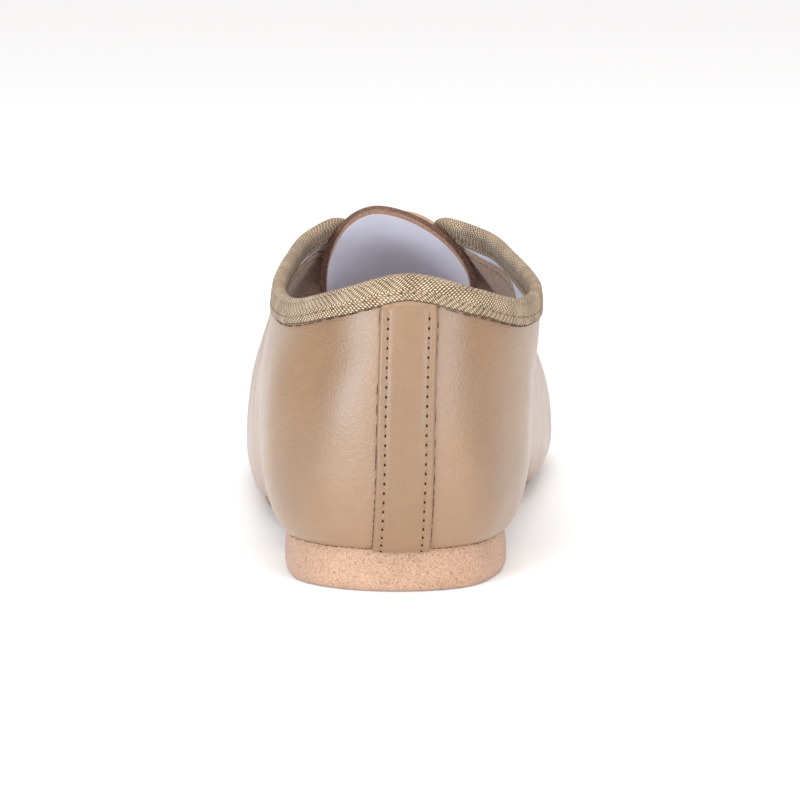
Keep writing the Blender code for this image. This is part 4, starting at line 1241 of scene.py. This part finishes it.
def make_back_stay():
    """Strip of leather with folded edges."""
    surface = leather("stay_leather_fine", tone(144, 108, 76), 0.40, 0.8)
    ease = [sin(pi / 2 * (2 * i / (STAY_COLUMNS - 1) - 1)) for i in range(STAY_COLUMNS)]
    outer = []
    inner = []
    for t in ease:
        for j in range(STAY_ROWS):
            climb = j / (STAY_ROWS - 1)
            spot, normal = stay_surface(t, climb)
            wave = STAY_UNEVENNESS * noise.noise(spot / STAY_UNEVEN_SIZE)
            thin = STAY_TOP_LEAST + (1 - STAY_TOP_LEAST) * smooth((1 - climb) / STAY_TOP_EASE)
            outer.append(spot + normal * (stay_height(t) * thin + wave))
            inner.append(spot - normal * STAY_SINK)
    faces = grid_faces(STAY_COLUMNS, STAY_ROWS, turned=True)
    stay = closed_shell("back_stay_leather", faces, outer, inner, [surface])
    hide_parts("back_stay")
    seam = 1 - 2 * STAY_SEAM_INSET / STAY_WIDTH
    rows = []
    for t in (-seam, seam):
        places = [stay_surface(t, 0.004 + 0.99 * j / (STAY_SEAM_STEPS - 1)) for j in range(STAY_SEAM_STEPS)]
        rows.append(lifted(places, stay_height(t)))
    steps = 2 * STAY_SEAM_STEPS
    edges = []
    for t in (-STAY_SHADOW_AT, STAY_SHADOW_AT):
        places = [stay_surface(t, 0.01 + 0.96 * j / (steps - 1)) for j in range(steps)]
        edges.append(lifted(places, STAY_SHADOW_LIFT))
    return rows, edges


def make_shadow_lines(name, rows, surface, radius, seed):
    """Thin dark broken cords along an edge: the shadowed gap where one piece lies on another."""
    chance = np.random.default_rng(seed)
    points = []
    faces = []
    for path, normals in rows:
        k = 0
        while k < len(path) - 3:
            size = int(chance.integers(3, 9))
            track = path[k:k + size]
            if len(track) > 2:
                peak = radius * chance.uniform(0.6, 1.1)
                radii = [peak * (0.45 + 0.55 * sin(pi * i / (len(track) - 1))) for i in range(len(track))]
                tube(track, radii, 6, points, faces)
            k += size + int(chance.integers(0, 3))
    lines = new_piece(name, points, faces, [surface])


# The ribbon over the collar's and the throat's edge

RIBBON_STEPS = 520
RIBBON_FACE = 9
RIBBON_FOLD = 9
RIBBON_SWELL = 0.00035
RIBBON_END_SHARE = 0.022
RIBBON_END_LEAST = 0.40
RIBBON_END_STATIONS = 14
RIBBON_SEAM_OUTSIDE = 0.00028
RIBBON_SEAM_INSIDE = 0.00025
RIBBON_SEAM_WIDTH = 0.0006
RIBBON_SEAM_LIFT = 0.00004
RIBBON_SHADOW_PAST = 0.00025
RIBBON_SHADOW_LIFT = 0.00008
SEAM_SHARE = 0.36


def ribbon_station(index):
    """Side and share of a station along the ribbon, from the lateral throat round the heel."""
    place = THROAT_END * (2 * index / (RIBBON_STEPS - 1) - 1)
    return (LATERAL if place < 0 else MEDIAL), abs(place)


def ribbon_section(side, share, run):
    """Section of the folded ribbon, from the lower edge outside, over the fold, to the lower edge inside."""
    rise = column_rise(side, share)
    ripple = 0.035 * noise.noise(Vector((run / 0.004, 1.5, 0)))
    waver = 1 + ripple + 0.05 * noise.noise(Vector((run / 0.015, 7.5, 0)))
    narrow = RIBBON_END_LEAST + (1 - RIBBON_END_LEAST) * smooth((THROAT_END - share) / RIBBON_END_SHARE)
    width = column_run(side, share, BINDING_WIDTH) * waver * narrow
    section = []
    for k in range(RIBBON_FACE):
        t = k / (RIBBON_FACE - 1)
        level = level_below_edge(side, share, width * (1 - t))
        swell = RIBBON_SWELL * sin(pi * min(1.0, t * 1.1)) ** 0.5
        seam = RIBBON_SEAM_OUTSIDE * bell((t - SEAM_SHARE) * BINDING_WIDTH, RIBBON_SEAM_WIDTH)
        section.append(skin(side, share, level, -(BINDING_THICKNESS + swell - seam)))
    centre = skin(side, share, 3, WALL / 2) - rise * GAP
    out = outward(side, share, 3)
    half = WALL / 2 + BINDING_THICKNESS + GAP
    for k in range(RIBBON_FOLD):
        turn = pi * (k + 1) / (RIBBON_FOLD + 1)
        reach = out * cos(turn) * half + rise * sin(turn) * (half * 0.85 + GAP)
        section.append(centre + reach)
    inner = WALL + BINDING_THICKNESS + GAP
    for k in range(RIBBON_FACE):
        t = 1 - k / (RIBBON_FACE - 1)
        level = level_below_edge(side, share, width * 0.96 * (1 - t))
        seam = RIBBON_SEAM_INSIDE * bell((t - SEAM_SHARE) * BINDING_WIDTH, RIBBON_SEAM_WIDTH)
        section.append(skin(side, share, level, inner - seam))
    return section


def ribbon_line(stations, down, past, deep, way):
    """Line along the ribbon at a share of its width and a distance past that, with its normals."""
    path = []
    normals = []
    for i in stations:
        side, share = ribbon_station(i)
        level = level_below_edge(side, share, column_run(side, share, BINDING_WIDTH) * down + past)
        path.append(skin(side, share, level, deep))
        normals.append(outward(side, share, level) * way)
    return path, normals


def make_binding():
    """Woven ribbon folded over the edge."""
    # The pale colour is the painted highlight on the floats; the dark one is painted shade in the gaps and
    # along the lower edge.
    surface = twill("ribbon_fine", tone(240, 214, 180), tone(184, 150, 116), tone(58, 40, 28))
    runs = run_along([last(*ribbon_station(i), 3) for i in range(RIBBON_STEPS)])
    sections = []
    for i in range(RIBBON_STEPS):
        side, share = ribbon_station(i)
        hidden = BINDING_WIDTH * (0.35 + 0.55 * smooth((THROAT_END - share) / RIBBON_END_SHARE))
        level = level_below_edge(side, share, hidden)
        under = [skin(side, share, level, depth) for depth in (WALL, 0)]
        sections.append([*ribbon_section(side, share, runs[i]), *under])
    size = len(sections[0])
    widths = run_along(sections[len(sections) // 2])
    widths.append(widths[-1] + 0.001)
    uvs = []
    for i in range(RIBBON_STEPS - 1):
        for j in range(size):
            uvs += [(runs[i], widths[j]), (runs[i], widths[j + 1]),
                    (runs[i + 1], widths[j + 1]), (runs[i + 1], widths[j])]
    uvs += [(0.0, 0.0)] * (2 * size)
    points = [spot for section in sections for spot in section]
    binding = new_piece("collar_ribbon", points, sweep_faces(RIBBON_STEPS, size), [surface], None, uvs)
    faces_outward(binding)
    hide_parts("collar_binding")
    stations = range(RIBBON_END_STATIONS, RIBBON_STEPS - RIBBON_END_STATIONS)
    seam = 1 - SEAM_SHARE
    rows = [
        ribbon_line(stations[::2], seam, 0.0, -(BINDING_THICKNESS + RIBBON_SEAM_LIFT), 1),
        ribbon_line(stations[::2], seam, 0.0, WALL + BINDING_THICKNESS + GAP, -1),
    ]
    return rows, [ribbon_line(stations, 1, RIBBON_SHADOW_PAST, -RIBBON_SHADOW_LIFT, 1)]


# The tongue

TONGUE_COLUMNS = 61
TONGUE_HUGS = 30
TONGUE_BETWEEN = 50


def tongue_hug(share, depth, columns):
    """Section of the tongue that follows the facings' inside."""
    reach = (TONGUE_WIDTH - THROAT_GAP) / 2
    sides = {}
    for side in (LATERAL, MEDIAL):
        level = level_below_edge(side, share, reach)
        climb = NEAR_EDGE_LEVEL - level
        steps = [level + climb * k / HUG_STEPS for k in range(HUG_STEPS + 1)]
        sides[side] = [skin(side, share, step, depth) for step in steps]
    left = sides[LATERAL]
    right = sides[MEDIAL]
    span = (right[-1] - left[-1]).length
    out = (left[-1] - left[-2]).normalized() * span * BRIDGE_PULL
    back = (right[-1] - right[-2]).normalized() * span * BRIDGE_PULL
    bridge = [bezier(left[-1], left[-1] + out, right[-1] + back, right[-1], k / BRIDGE_STEPS)
              for k in range(1, BRIDGE_STEPS)]
    knots = left + bridge + right[::-1]
    curves = curves_through(range(len(knots)), knots)
    steps = [(len(knots) - 1) * j / (columns - 1) for j in range(columns)]
    return [Vector([curve(step) for curve in curves]) for step in steps]


def tongue_arch(depth, columns):
    """Free top of the tongue: a rounded end that leans to the outer side and falls away straighter inside."""
    path = []
    half = TONGUE_WIDTH / 2
    for k in range(columns):
        turn = pi * (k / (columns - 1) - 0.5)
        if turn < 0:
            reach = (half - TONGUE_LEAN) * -sin(-turn) ** TONGUE_LEFT_ROUND
            fall = 1 - cos(turn) ** TONGUE_LEFT_ROUND
        else:
            reach = (half + TONGUE_LEAN) * sin(turn) ** TONGUE_RIGHT_ROUND
            fall = 1 - max(0.0, cos(turn)) ** TONGUE_RIGHT_ROUND
        along = TONGUE_TOP_AT + TONGUE_SWEEP * fall
        spot = point(reach - TONGUE_LEAN, along, TONGUE_HEIGHT - TONGUE_DROP * fall)
        path.append(spot - (TONGUE_FACING * cos(turn) + ACROSS * sin(turn)) * depth)
    return path


def tongue_skin(depth, columns):
    """Grid of the tongue's sections at a depth under its outside, root first."""
    clear = WALL + 2 * GAP + BINDING_THICKNESS
    top_pull = TONGUE_RISE * TONGUE_TOP_PULL
    coarse = 4
    stride = (TONGUE_FREE_SHARE - TONGUE_ROOT_SHARE) / (coarse - 1)
    sections = []
    for k in range(TONGUE_HUGS + 1):
        share = TONGUE_ROOT_SHARE + (TONGUE_FREE_SHARE - TONGUE_ROOT_SHARE) * k / TONGUE_HUGS
        sections.append(tongue_hug(share, clear + depth, columns))
    low = sections[-1]
    before = tongue_hug(TONGUE_FREE_SHARE - stride, clear + depth, columns)
    arch = tongue_arch(depth, columns)
    for k in range(1, TONGUE_BETWEEN + 1):
        t = k / TONGUE_BETWEEN
        section = []
        for j in range(columns):
            start = low[j] + (low[j] - before[j]) * TONGUE_ROOT_PULL
            section.append(bezier(low[j], start, arch[j] - top_pull, arch[j], t))
        sections.append(section)
    return sections


LINING_SIDE_OUTER = 0.0030
LINING_SIDE_INNER = 0.0007
LINING_TOP = 0.0016
LINING_CORNER = 0.004
LINING_RAISED = 0.0002
LINING_RAGGED = 0.00026
LINING_RAGGED_SIZE = 0.0011
LINING_COLUMNS = 49


def make_tongue():
    """Leather tongue with a pale lining set inside its border."""
    surface = suede("tongue_leather_fine", tone(205, 165, 138), tone(168, 130, 106), 0.00040)
    cut_edge = suede("tongue_edge_fine", tone(122, 84, 64), tone(78, 52, 40), 0.00045)
    border = suede("tongue_border_fine", tone(196, 152, 124), tone(160, 120, 96), 0.00040)
    pale = lining("tongue_lining_fine", tone(224, 216, 222), tone(212, 205, 213))
    outside = tongue_skin(0.0, TONGUE_COLUMNS)
    inside = tongue_skin(TONGUE_THICKNESS, TONGUE_COLUMNS)
    outer = [spot for section in outside for spot in section]
    inner = [spot for section in inside for spot in section]
    rows = len(outside)
    tongue = closed_shell("tongue_leather_body", grid_faces(rows, TONGUE_COLUMNS), outer, inner,
                          [surface, cut_edge, border])
    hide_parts("tongue")
    count = 2 * (rows - 1) * (TONGUE_COLUMNS - 1)
    for face in tongue.data.polygons:
        if face.index >= count:
            face.material_index = 1
        elif face.index >= count // 2:
            face.material_index = 2
    spans = [run_along(section) for section in inside]
    climbs = run_along([section[TONGUE_COLUMNS // 2] for section in reversed(inside)])[::-1]
    keep = [i for i in range(rows) if climbs[i] >= LINING_TOP]
    skins = ([], [])
    for i in keep:
        curves = curves_through(spans[i], inside[i])
        under = curves_through(spans[i], outside[i])
        ragged = LINING_RAGGED * noise.noise(Vector((climbs[i] / LINING_RAGGED_SIZE, 3.1, 0)))
        low = LINING_SIDE_OUTER + ragged
        high = spans[i][-1] - LINING_SIDE_INNER + ragged
        near_top = climbs[i] - LINING_TOP
        round_in = LINING_CORNER * max(0.0, 1 - near_top / LINING_CORNER) ** 2
        for j in range(LINING_COLUMNS):
            run = low + round_in + (high - low - 2 * round_in) * j / (LINING_COLUMNS - 1)
            spot = Vector([curve(run) for curve in curves])
            back = (spot - Vector([curve(run) for curve in under])).normalized()
            skins[0].append(spot + back * LINING_RAISED)
            skins[1].append(spot - back * LINING_RAISED)
    sheet = closed_shell("tongue_lining", grid_faces(len(keep), LINING_COLUMNS), *skins, [pale])


# The leather that backs the facings inside

BACKING_START = {LATERAL: 0.452, MEDIAL: 0.415}
BACKING_END = 0.668
BACKING_INSET = {LATERAL: 0.0050, MEDIAL: 0.0036}
BACKING_WIDTH = 0.026
BACKING_THICKNESS = 0.0006
BACKING_SEAM_INSET = 0.0018
BACKING_LAP = 0.9
BACKING_SINK = 0.0001


def make_backings():
    """Napped brown leather inside both facings, below the ribbon's inner edge, with a row of stitches."""
    surface = suede("backing_fine", tone(204, 166, 136), tone(158, 124, 100), 0.0006)
    columns = 60
    across = 14
    rows = []
    for side, name in ((LATERAL, "outer"), (MEDIAL, "inner")):
        outer = []
        inner = []
        seam = []
        ways = []
        for k in range(columns):
            share = BACKING_START[side] + (BACKING_END - BACKING_START[side]) * k / (columns - 1)
            start = column_run(side, share, BINDING_WIDTH * BACKING_LAP) + BACKING_INSET[side]
            for j in range(across):
                t = j / (across - 1)
                level = level_below_edge(side, share, start + BACKING_WIDTH * t)
                edge = BACKING_THICKNESS * min(1.0, 0.4 + min(k, columns - 1 - k, across - 1 - j) * 0.6)
                outer.append(skin(side, share, level, WALL + edge))
                inner.append(skin(side, share, level, WALL - BACKING_SINK))
            level = level_below_edge(side, share, start + BACKING_SEAM_INSET)
            seam.append(skin(side, share, level, WALL + BACKING_THICKNESS))
            ways.append(-outward(side, share, level))
        backing = closed_shell(f"facing_backing_{name}", grid_faces(columns, across), outer, inner, [surface])
        rows.append((seam, ways))
    return rows


# The insole and the two soles

INSOLE_START = 0.025
INSOLE_RUN = 0.95
INSOLE_END_STEP = 0.0016
INSOLE_ROUND = 0.0008
INSOLE_ROUND_REACH = 0.0012
SOLE_END_STEP = 0.0011
SOLE_ROUND = 0.0009
SOLE_ROUND_REACH = 0.0015
HEEL_SEAM_OUT = 0.0008
HEEL_SEAM_WAVE = 0.00022


def plan_grid(start, run, columns, rows, inset, end_step):
    """Places within the sole's edge, each with its distance from the piece's own rim."""
    for k in range(columns):
        share = start + run * k / (columns - 1)
        left = feather_plan(LATERAL, share, inset)
        right = feather_plan(MEDIAL, share, inset)
        for j in range(rows):
            t = (1 - cos(pi * j / (rows - 1))) / 2
            aside = min(t, 1 - t) * (right - left).length
            yield left.lerp(right, t), min(aside, min(k, columns - 1 - k) * end_step)


def make_insole():
    """Sock that lies inside on the lasting margin."""
    surface = lining("insole_fine", tone(224, 224, 232), tone(206, 206, 216))
    play = WALL + GAP + INSOLE_PLAY
    columns = 150
    rows = 31
    outer = []
    inner = []
    for place, inset in plan_grid(INSOLE_START, INSOLE_RUN, columns, rows, play, INSOLE_END_STEP):
        height = underside(place.x, place.y) + WALL + INSOLE_LIFT
        round_off = INSOLE_ROUND * max(0.0, 1 - inset / INSOLE_ROUND_REACH) ** 2
        outer.append(point(place.x, place.y, height + INSOLE_THICKNESS - round_off))
        inner.append(point(place.x, place.y, height))
    insole = closed_shell("insole_sock", grid_faces(columns, rows), outer, inner, [surface])
    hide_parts("insole")


def make_forefoot_sole():
    """Suede patch under the ball and toes, with a rounded edge."""
    surface = suede("sole_suede_fine", tone(184, 150, 122), tone(156, 122, 98))
    columns = 130
    rows = 41
    start = share_of(SOLE_START)
    top = []
    bottom = []
    for place, inset in plan_grid(start, SOLE_FRONT_SHARE - start, columns, rows, SOLE_INSET, SOLE_END_STEP):
        height = underside(place.x, place.y) - GAP
        share_in = min(1.0, inset / SOLE_ROUND_REACH)
        round_off = SOLE_ROUND * (1 - sqrt(1 - (1 - share_in) ** 2))
        top.append(point(place.x, place.y, height + GAP * 0.9))
        bottom.append(point(place.x, place.y, height - SOLE_THICKNESS + round_off))
    sole = closed_shell("forefoot_sole_suede", grid_faces(columns, rows), top, bottom, [surface])
    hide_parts("forefoot_sole")


def make_heel():
    """Low block covered in suede, full at its sides, its top edge drawn up to the upper."""
    surface = suede("heel_suede_fine", tone(212, 172, 143), tone(172, 132, 106))
    front = share_of(HEEL_BLOCK_LENGTH)
    steps = 90
    Level = namedtuple("Level", "height inset")
    levels = [
        Level(0.0, 0.0012),
        Level(0.0, 0.0004),
        Level(0.0003, -0.0002),
        Level(0.0009, -0.7 * HEEL_BLOCK_BULGE),
        Level(0.0020, -0.95 * HEEL_BLOCK_BULGE),
        Level(0.35 * HEEL_BLOCK_HEIGHT, -HEEL_BLOCK_BULGE),
        Level(0.55 * HEEL_BLOCK_HEIGHT, -0.9 * HEEL_BLOCK_BULGE),
        Level(0.75 * HEEL_BLOCK_HEIGHT, -0.6 * HEEL_BLOCK_BULGE),
        Level(0.90 * HEEL_BLOCK_HEIGHT, -0.4 * HEEL_BLOCK_BULGE),
        Level(HEEL_BLOCK_HEIGHT + GAP, -0.35 * HEEL_BLOCK_BULGE),
        Level(HEEL_BLOCK_HEIGHT + 2.4 * GAP, 0.0001),
        Level(HEEL_BLOCK_HEIGHT + GAP, 0.0012),
    ]
    points = []
    for level in levels:
        for k in range(-steps, steps + 1):
            share = front * abs(k) / steps
            side = LATERAL if k < 0 else MEDIAL
            spot = feather_plan(side, share, level.inset)
            points.append(point(spot.x, spot.y, level.height))
    faces = sweep_faces(len(levels), 2 * steps + 1)
    heel = new_piece("heel_suede_block", points, faces, [surface])
    faces_outward(heel)
    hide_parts("heel")
    seam = []
    ways = []
    fine = 3 * steps
    for k in range(-fine, fine + 1):
        share = front * abs(k) / fine
        side = LATERAL if k < 0 else MEDIAL
        spot = feather_plan(side, share, -HEEL_SEAM_OUT)
        wave = HEEL_SEAM_WAVE * noise.noise(Vector((k / 7, 2.5, 0)))
        seam.append(point(spot.x, spot.y, HEEL_BLOCK_HEIGHT + 1.6 * GAP + wave))
        ways.append(-inward(side, share))
    return [(seam, ways)]


# Eyelets and lace

LACE_FIT = 0.98
LACE_UNDER_HUMP = 0.2
LACE_OVER_HUMP = 2.0


def make_eyelets():
    """Rolled metal eyelets, one joined mesh."""
    surface = plain_metal("eyelet_metal_fine", tone(214, 210, 202))
    top = EYELET_SEAT + EYELET_FLANGE_THICKNESS
    foot = -WALL - EYELET_SEAT
    roll = EYELET_FLANGE_THICKNESS / 2
    profile = []
    for k in range(7):
        turn = pi * (k / 6 - 0.5)
        profile.append((EYELET_FLANGE - roll + roll * cos(turn), top - roll + roll * sin(turn)))
    for k in range(7):
        turn = pi * 0.5 * (1 + k / 6)
        profile.append((EYELET_BORE + 3 * roll + 3 * roll * cos(turn), top - 3 * roll + 3 * roll * sin(turn)))
    profile.append((EYELET_BORE, foot))
    for k in range(7):
        turn = pi * k / 6
        profile.append((EYELET_CLINCH - roll + roll * sin(turn), foot - roll - roll * cos(turn)))
    profile.append((EYELET_BARREL, foot + roll))
    profile.append((EYELET_BARREL, top - 2 * roll))
    sides = 40
    points = []
    faces = []
    size = len(profile)
    for side in (LATERAL, MEDIAL):
        for pair in range(EYELET_PAIRS):
            share = eyelet_share(pair)
            level = eyelet_place(side, share)
            turn = outward(side, share, level).to_track_quat("Z", "Y")
            home = last(side, share, level)
            start = len(points)
            for k in range(sides):
                angle = 2 * pi * k / sides
                for radius, height in profile:
                    points.append(home + turn @ Vector((radius * cos(angle), radius * sin(angle), height)))
            for k in range(sides):
                here = start + k * size
                there = start + ((k + 1) % sides) * size
                for j in range(size):
                    n = (j + 1) % size
                    faces.append((here + j, here + n, there + n, there + j))
    eyelets = new_piece("metal_eyelets", points, faces, [surface])
    faces_outward(eyelets)
    names = [f"eyelet_{side}_{pair + 1}" for side in ("outer", "inner") for pair in range(EYELET_PAIRS)]
    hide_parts(*names)


def lace_strand(from_side, from_share, to_share, height, hump):
    """Path of a strand from inside an eyelet over the facings and the tongue into one of the other side."""
    steps = 8
    half = {}
    for side, base in ((from_side, from_share), (-from_side, to_share)):
        level = eyelet_place(side, base)
        out = outward(side, base, level)
        home = last(side, base, level)
        foot = WALL + EYELET_SEAT + 0.5 * EYELET_FLANGE_THICKNESS
        track = [home - out * foot, home - out * foot * 0.3, home + out * height * 0.55]
        for k in range(1, steps + 1):
            share = base + (from_share + to_share - 2 * base) * LACE_MEET * k / steps
            rise = height * min(1.0, 0.80 + 0.25 * k / 3)
            track.append(skin(side, share, level + (NEAR_EDGE_LEVEL - level) * k / steps, -rise))
        half[side] = track
    start = half[from_side]
    end = half[-from_side]
    span = (end[-1] - start[-1]).length * BRIDGE_PULL
    leave = start[-1] + (start[-1] - start[-2]).normalized() * span
    arrive = end[-1] + (end[-1] - end[-2]).normalized() * span
    bridge = []
    for k in range(1, 8):
        spot = bezier(start[-1], leave, arrive, end[-1], k / 8)
        bridge.append(spot + UP * hump * sin(pi * k / 8))
    knots = start + bridge + end[::-1]
    curves = curves_through(range(len(knots)), knots)
    fine = 3 * (len(knots) - 1)
    return [Vector([curve(k / 3) for curve in curves]) for k in range(fine + 1)]


def make_lace():
    """Round braided lace through the eyelets: one bar, then crossings, ending at the top pair."""
    surface = braid("lace_fine", tone(206, 176, 142), tone(150, 118, 88))
    height = EYELET_SEAT + EYELET_FLANGE_THICKNESS + LACE_CLEAR + LACE_RADIUS
    points = []
    faces = []
    uvs = []
    strands = [(LATERAL, 0, 0, 0.0)]
    for pair in range(EYELET_PAIRS - 1):
        strands.append((LATERAL, pair, pair + 1, LACE_RADIUS * LACE_UNDER_HUMP))
        strands.append((MEDIAL, pair, pair + 1, LACE_RADIUS * LACE_OVER_HUMP))
    for side, first, final, hump in strands:
        path = lace_strand(side, eyelet_share(first), eyelet_share(final), height, hump)
        tube(path, LACE_RADIUS * LACE_FIT, 16, points, faces, uvs)
    lace = new_piece("laced_cord", points, faces, [surface], None, uvs)
    faces_outward(lace)
    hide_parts("lace")


# Stage: floor, light and camera

CAMERA_ACROSS = -0.0002
CAMERA_ALONG = -0.9481
CAMERA_HEIGHT = 0.1824
CAMERA_PITCH = 9.3
FOCAL_PIXELS = 3542
IMAGE_SIDE = 800
SENSOR = 36.0
FLOOR_SIZE = 40
FLOOR_DROP = 0.0001


def make_stage():
    """Pale floor that reaches past every view."""
    bpy.ops.mesh.primitive_plane_add(size=FLOOR_SIZE, location=(0, 0, -FLOOR_DROP))
    floor = bpy.context.object
    floor.name = "floor"
    floor.data.materials.append(matt_floor("floor_matt"))


ROOM_LIGHT = 1.06
SIDE_LIGHT = 0.08
FLOOR_GLOW = 0.10
COOL = (0.66, 0.84, 1.0)
ROOM_COLOUR = (1.0, 0.985, 0.975, 1)
DIM_LEAN = 0.5
DIM_SIDE = (0.66, 0.90)
DIM_LOW = (0.0, 0.16)
DIM_HIGH = (0.50, 0.78)
LIGHT_AIM = Vector((0, -0.04, 0.03))
LIGHT_DISTANCE = 1.3

# Azimuth 0 stands behind the camera
Softbox = namedtuple("Softbox", "name azimuth elevation width height power colour")
SOFTBOXES = (
    Softbox("left_box", -38, 10, 0.70, 0.60, 10.0, COOL),
    Softbox("right_box", 34, 10, 0.55, 0.55, 5.0, COOL),
    Softbox("top_box", 0, 72, 1.1, 1.1, 9.0, (1, 1, 1)),
)


def add_softbox(box):
    """Area light aimed at the shoe."""
    data = bpy.data.lights.new(box.name, "AREA")
    data.shape = "RECTANGLE"
    data.size = box.width
    data.size_y = box.height
    data.energy = box.power
    data.color = box.colour
    lamp = bpy.data.objects.new(box.name, data)
    a = radians(box.azimuth)
    e = radians(box.elevation)
    way = Vector((sin(a) * cos(e), -cos(a) * cos(e), sin(e)))
    lamp.location = LIGHT_AIM + way * LIGHT_DISTANCE
    lamp.rotation_mode = "QUATERNION"
    lamp.rotation_quaternion = way.to_track_quat("Z", "Y")
    bpy.context.scene.collection.objects.link(lamp)


def make_light():
    """White room, dimmer high up on both sides, with softboxes beside the camera and overhead."""
    world = bpy.data.worlds.new("white_room")
    world.use_nodes = True
    nodes = world.node_tree.nodes
    links = world.node_tree.links
    coords = nodes.new("ShaderNodeTexCoord")
    apart = nodes.new("ShaderNodeSeparateXYZ")
    links.new(coords.outputs["Generated"], apart.inputs[0])

    def ramp(value, low, high):
        """A soft step of one direction's share."""
        step = nodes.new("ShaderNodeMapRange")
        step.interpolation_type = "SMOOTHSTEP"
        links.new(value, step.inputs["Value"])
        step.inputs["From Min"].default_value = low
        step.inputs["From Max"].default_value = high
        return step.outputs["Result"]

    def math(kind, first, second):
        """One step of arithmetic."""
        node = nodes.new("ShaderNodeMath")
        node.operation = kind
        for socket, value in zip(node.inputs, (first, second)):
            if isinstance(value, float):
                socket.default_value = value
            else:
                links.new(value, socket)
        return node.outputs[0]

    sideways = math("ABSOLUTE", apart.outputs["X"], 0.0)
    leaning = math("ADD", sideways, math("MULTIPLY", apart.outputs["Z"], DIM_LEAN))
    dim = math("MULTIPLY", ramp(leaning, *DIM_SIDE), ramp(apart.outputs["Z"], *DIM_LOW))
    dim = math("MULTIPLY", dim, math("SUBTRACT", 1.0, ramp(apart.outputs["Z"], *DIM_HIGH)))
    unseen = math("SUBTRACT", 1.0, nodes.new("ShaderNodeLightPath").outputs["Is Camera Ray"])
    dim = math("MULTIPLY", dim, unseen)
    strength = math("SUBTRACT", ROOM_LIGHT, math("MULTIPLY", dim, ROOM_LIGHT - SIDE_LIGHT))
    background = nodes["Background"]
    background.inputs["Color"].default_value = ROOM_COLOUR
    links.new(strength, background.inputs["Strength"])
    bpy.context.scene.world = world
    for box in SOFTBOXES:
        add_softbox(box)


def make_camera():
    """Camera at the photograph's place, fitted to the shoe's own sizes."""
    data = bpy.data.cameras.new("camera")
    data.sensor_fit = "HORIZONTAL"
    data.sensor_width = SENSOR
    data.lens = SENSOR * FOCAL_PIXELS / IMAGE_SIDE
    data.clip_start = 0.05
    data.clip_end = 60
    camera = bpy.data.objects.new("camera", data)
    camera.location = (CAMERA_ACROSS, CAMERA_ALONG, CAMERA_HEIGHT)
    camera.rotation_euler = (radians(90 - CAMERA_PITCH), 0, 0)
    bpy.context.scene.collection.objects.link(camera)
    bpy.context.scene.camera = camera


def main():
    """Dress the shoe and set the stage."""
    make_camera()
    make_stage()
    make_light()
    make_upper()
    stay_rows, stay_edges = make_back_stay()
    ribbon_rows, ribbon_edges = make_binding()
    make_tongue()
    backing_rows = make_backings()
    make_insole()
    make_forefoot_sole()
    heel_edges = make_heel()
    make_eyelets()
    make_lace()
    tan_thread = thread("tan_thread", tone(176, 146, 114), tone(134, 104, 78))
    hole = dark_hole("needle_hole")
    gap_shade = thread("gap_shade", tone(112, 84, 60), tone(70, 48, 34))
    make_stitches("stay_stitches", stay_rows, tan_thread, hole)
    make_stitches("ribbon_stitches", ribbon_rows, tan_thread, gap_shade,
                  RIBBON_STITCH_PITCH, RIBBON_HOLE_SIZE)
    make_stitches("backing_stitches", backing_rows, tan_thread, hole,
                  BACKING_STITCH_PITCH)
    make_shadow_lines("stay_edge_shadow", stay_edges, gap_shade, 0.00013, 5)
    make_shadow_lines("ribbon_edge_shadow", ribbon_edges, gap_shade, 0.00018, 7)
    make_shadow_lines("heel_seam_shadow", heel_edges, gap_shade, 0.00017, 9)
    view = bpy.context.scene.view_settings
    view.view_transform = "Standard"
    view.look = "None"


main()
